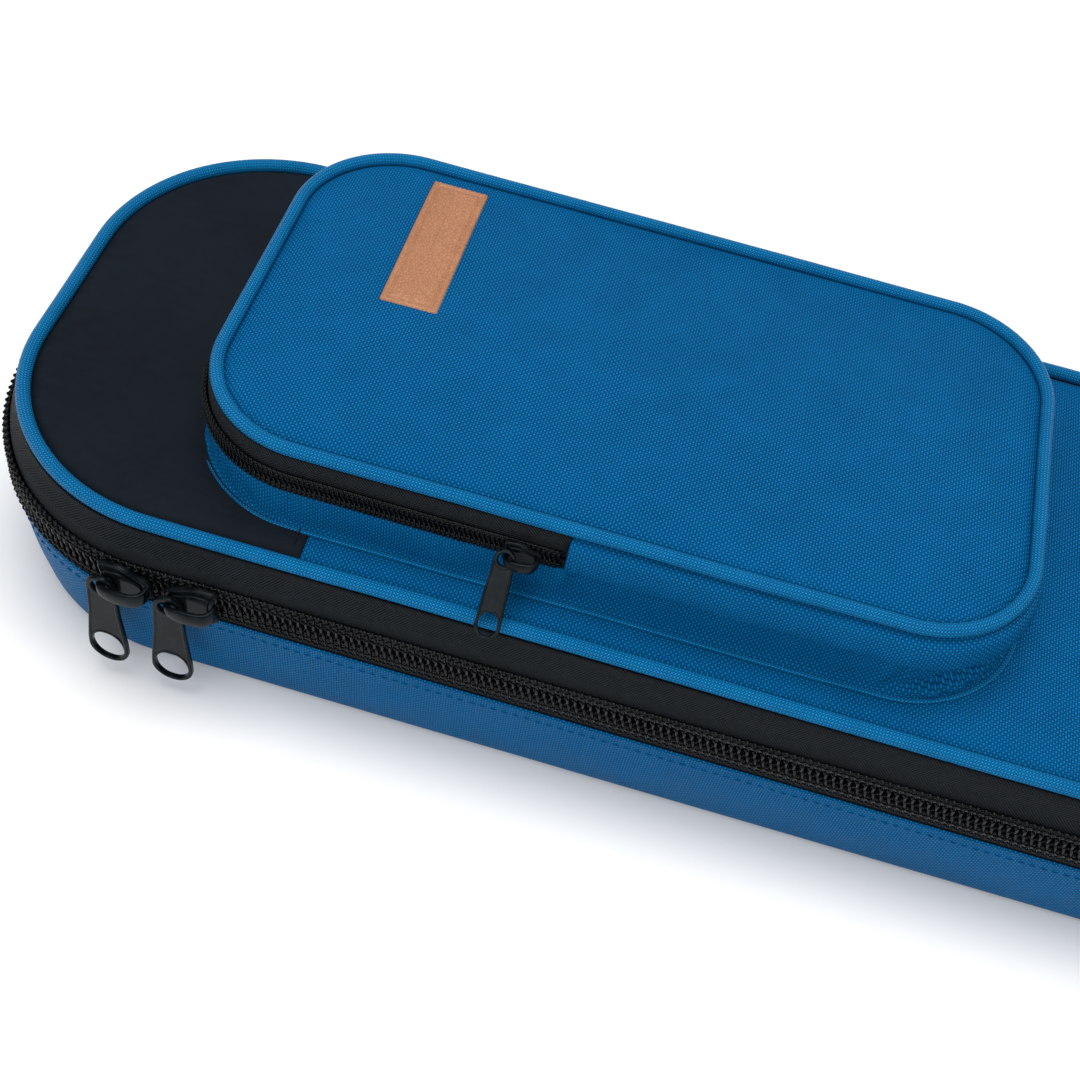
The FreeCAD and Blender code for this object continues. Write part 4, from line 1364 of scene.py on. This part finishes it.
def main_pulls():
    """The right slider stands on the straight part of the zipper and the left one on its round corner."""
    centre = CASE.middle - CASE.straight
    coil_face = CASE_CORNER + MAIN_COIL_OUT
    for side in ("right", "left"):
        slider, tab = f"main_slider_{side}", f"main_pull_tab_{side}"
        x = middle_of(slider).x
        turn = 0.0 if side == "right" else math.asin((x - centre[0]) / coil_face)
        spin = Matrix.Rotation(turn, 4, "Z")
        matrix = Matrix.Translation((x, centre[1] - coil_face * math.cos(turn), ZIP_MIDDLE)) @ spin
        body = slider_piece(f"{slider}_metal", 1 if side == "right" else -1, **MAIN_SLIDER)
        enamelled(body, matrix, slider)
        spot = middle_of(tab)
        spot.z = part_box(tab)[1].z - tab_head(MAIN_TAB)
        enamelled(tab_piece(f"{tab}_metal", **MAIN_TAB), Matrix.Translation(spot) @ spin, tab)


def pocket_pull():
    y = POCKET.middle[1] - POCKET.half[1] - POCKET_COIL_OUT
    spot = Matrix.Translation((middle_of("pocket_slider").x, y, POCKET_ZIP))
    enamelled(slider_piece("pocket_slider_metal", -1, **POCKET_SLIDER), spot, "pocket_slider")
    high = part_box("pocket_pull_tab")[1]
    head, thin, tilt = tab_head(POCKET_TAB), POCKET_TAB["thickness"] / 2, POCKET_TAB_TILT
    eye_z = high.z - head * math.cos(tilt) - thin * math.sin(tilt)
    eye_y = high.y - head * math.sin(tilt) - thin * math.cos(tilt)
    spot = Matrix.Translation((middle_of("pocket_pull_tab").x, eye_y, eye_z))
    lean = Matrix.Rotation(-tilt, 4, "X")
    enamelled(tab_piece("pocket_pull_tab_metal", **POCKET_TAB), spot @ lean, "pocket_pull_tab")


# ---------------------------------------------------------------- the handle


STRAP_THICK = 2.5 * MM


def handle_strap():
    """Webbing sewn flat to the wall at both ends, which stands off it between them."""
    low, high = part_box("handle_webbing")
    sewn_y, out_y = low.y + STRAP_THICK / 2, high.y - STRAP_THICK / 2
    rise = out_y - sewn_y
    start = high.x - 26 * MM
    slope = 24 * MM
    side = [(high.x, sewn_y), (start, sewn_y), (start - slope * 0.3, sewn_y + rise * 0.18),
            (start - slope * 0.75, out_y - rise * 0.1), (start - slope * 1.15, out_y)]
    line = side + [(0.0, out_y)] + [(-x, y) for x, y in side[::-1]]
    line = smooth_line([(x, y, (low.z + high.z) / 2) for x, y in line], 120)
    strap = strap_mesh("handle_strap", line, np.full(120, high.z - low.z), STRAP_THICK)
    settle(strap, "base", WEBBING, ("handle_webbing",))


def handle_grip():
    """The soft sleeve in the middle of the handle."""
    low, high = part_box("handle_grip")
    stations = np.linspace(-high.x, high.x, 60)
    round_off = 1 - 0.12 * np.clip((np.abs(stations) - high.x + 3 * MM) / (3 * MM), 0, 1) ** 2
    a = squared(np.cos(turns(28)), 0.55) * (high.y - low.y) / 2
    b = squared(np.sin(turns(28)), 0.45) * (high.z - low.z) / 2
    points = np.zeros((60, 28, 3))
    points[..., 0] = stations[:, None]
    points[..., 1] = (low.y + high.y) / 2 + a[None] * round_off[:, None]
    points[..., 2] = (low.z + high.z) / 2 + b[None] * round_off[:, None]
    points += noise_field(points, 0.012, 95)[..., None] * np.array([0, 0.35, 0.25]) * MM
    grip = grid_object("handle_grip_sleeve", points, False, True, stations.tolist() + [high.x],
                       np.arange(29) * 2 * MM)
    settle(grip, "base", SOFTSHELL, ("handle_grip",))


def handle_backing(name):
    """The patch behind one end of the webbing."""
    low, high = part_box(f"handle_anchor_{name}")
    wall = CASE.middle[1] + CASE.half[1]
    profile = rounded_corners([(wall + 4.9 * MM, high.z + 0.6 * MM), (wall + 3.2 * MM, high.z + 0.6 * MM),
                               (wall + 0.5 * MM, low.z - 0.4 * MM), (wall + 4.9 * MM, low.z - 0.4 * MM)],
                              0.8 * MM)
    xs = np.linspace(low.x - 0.8 * MM, high.x + 0.8 * MM, 16)
    points = np.zeros((len(xs), len(profile), 3))
    points[..., 0] = xs[:, None]
    points[..., 1:] = profile[None]
    patch = grid_object(f"handle_backing_{name}", points, False, True, np.append(xs, xs[-1]),
                        lengths(profile, True))
    settle(patch, "base", SOFTSHELL, (f"handle_anchor_{name}",))


def handle_stitches(name):
    """A square with a cross in it, sewn through one end of the webbing."""
    low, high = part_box("handle_webbing")
    middle_z, width = (low.z + high.z) / 2, high.z - low.z
    anchor_low, anchor_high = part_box(f"handle_anchor_{name}")
    centre = Vector(((anchor_low.x + anchor_high.x) / 2, low.y + STRAP_THICK, middle_z))
    across, up = (anchor_high.x - anchor_low.x) / 2 - 3 * MM, width / 2 - 2.5 * MM
    square = [(-across, -up), (across, -up), (across, up), (-across, up), (-across, -up), (across, up)]
    for k, run in enumerate((square, [(-across, up), (across, -up)])):
        path = []
        for (x0, z0), (x1, z1) in zip(run[:-1], run[1:]):
            for t in np.linspace(0, 1, 12, endpoint=False):
                path.append((centre.x + x0 + (x1 - x0) * t, centre.y, centre.z + z0 + (z1 - z0) * t))
        path = np.array(path)
        stitch_row(f"handle_stitches_{name}_{k}", path, np.tile((0.0, 1.0, 0.0), (len(path), 1)), "base",
                   BLACK_THREAD, seed=13 + k)


def handle():
    handle_strap()
    handle_grip()
    for name in ("left", "right"):
        handle_backing(name)
        handle_stitches(name)


# ---------------------------------------------------------------- studio


def area_light(name, place, target, size, power):
    light = bpy.data.lights.new(name, "AREA")
    light.shape = "RECTANGLE"
    light.size, light.size_y = size
    light.energy = power
    lamp = linked(name, light)
    lamp.location = place
    lamp.rotation_euler = (Vector(target) - Vector(place)).to_track_quat("-Z", "Y").to_euler()


def studio():
    n = 24
    xs = np.linspace(-3, 3, n)
    grid = np.array([[(x, y, 0.0) for y in xs] for x in xs])
    floor = grid_object("floor", grid, u=np.linspace(0, 6, n + 1), v=np.linspace(0, 6, n + 1))
    floor.data.flip_normals()
    floor.data.materials.append(floor_material())
    target = (0, 0, 0.04)
    area_light("overhead", (-0.1, 0.1, 1.3), target, (1.0, 0.7), 12.5)
    area_light("front", (-0.55, -1.3, 0.9), target, (1.1, 0.8), 10)
    area_light("side", (1.3, -0.2, 0.9), target, (0.8, 0.8), 4)
    world = bpy.data.worlds.new("studio")
    bpy.context.scene.world = world
    world.use_nodes = True
    sky = world.node_tree.nodes["Background"].inputs
    sky["Color"].default_value = (1, 1, 1, 1)
    sky["Strength"].default_value = 0.44
    bpy.context.scene.view_settings.view_transform = "Standard"


def camera():
    data = bpy.data.cameras.new("camera")
    data.sensor_width = 36
    data.lens = CAMERA_LENS
    data.clip_start = 0.01
    eye = linked("camera", data)
    right = CAMERA_RIGHT.normalized()
    back = right.cross(-CAMERA_DOWN).normalized()
    up = back.cross(right)
    place = Vector((PIPING_LOW.x + CAMERA_FROM_LEFT, -CAMERA_OUT, LID_TOP + CAMERA_UP))
    rotation = Matrix((right, up, back)).transposed().to_4x4()
    eye.matrix_world = Matrix.Translation(place) @ rotation
    bpy.context.scene.camera = eye


camera()
studio()
base_shell()
wall_stitches()
base_padding()
rim_binding()
main_zipper()
spine()
lid_panels()
lid_piping()
lid_padding()
pocket_gusset()
pocket_foot_edge()
pocket_rear_band()
pocket_zipper()
pocket_top()
pocket_piping()
label()
main_pulls()
pocket_pull()
handle()
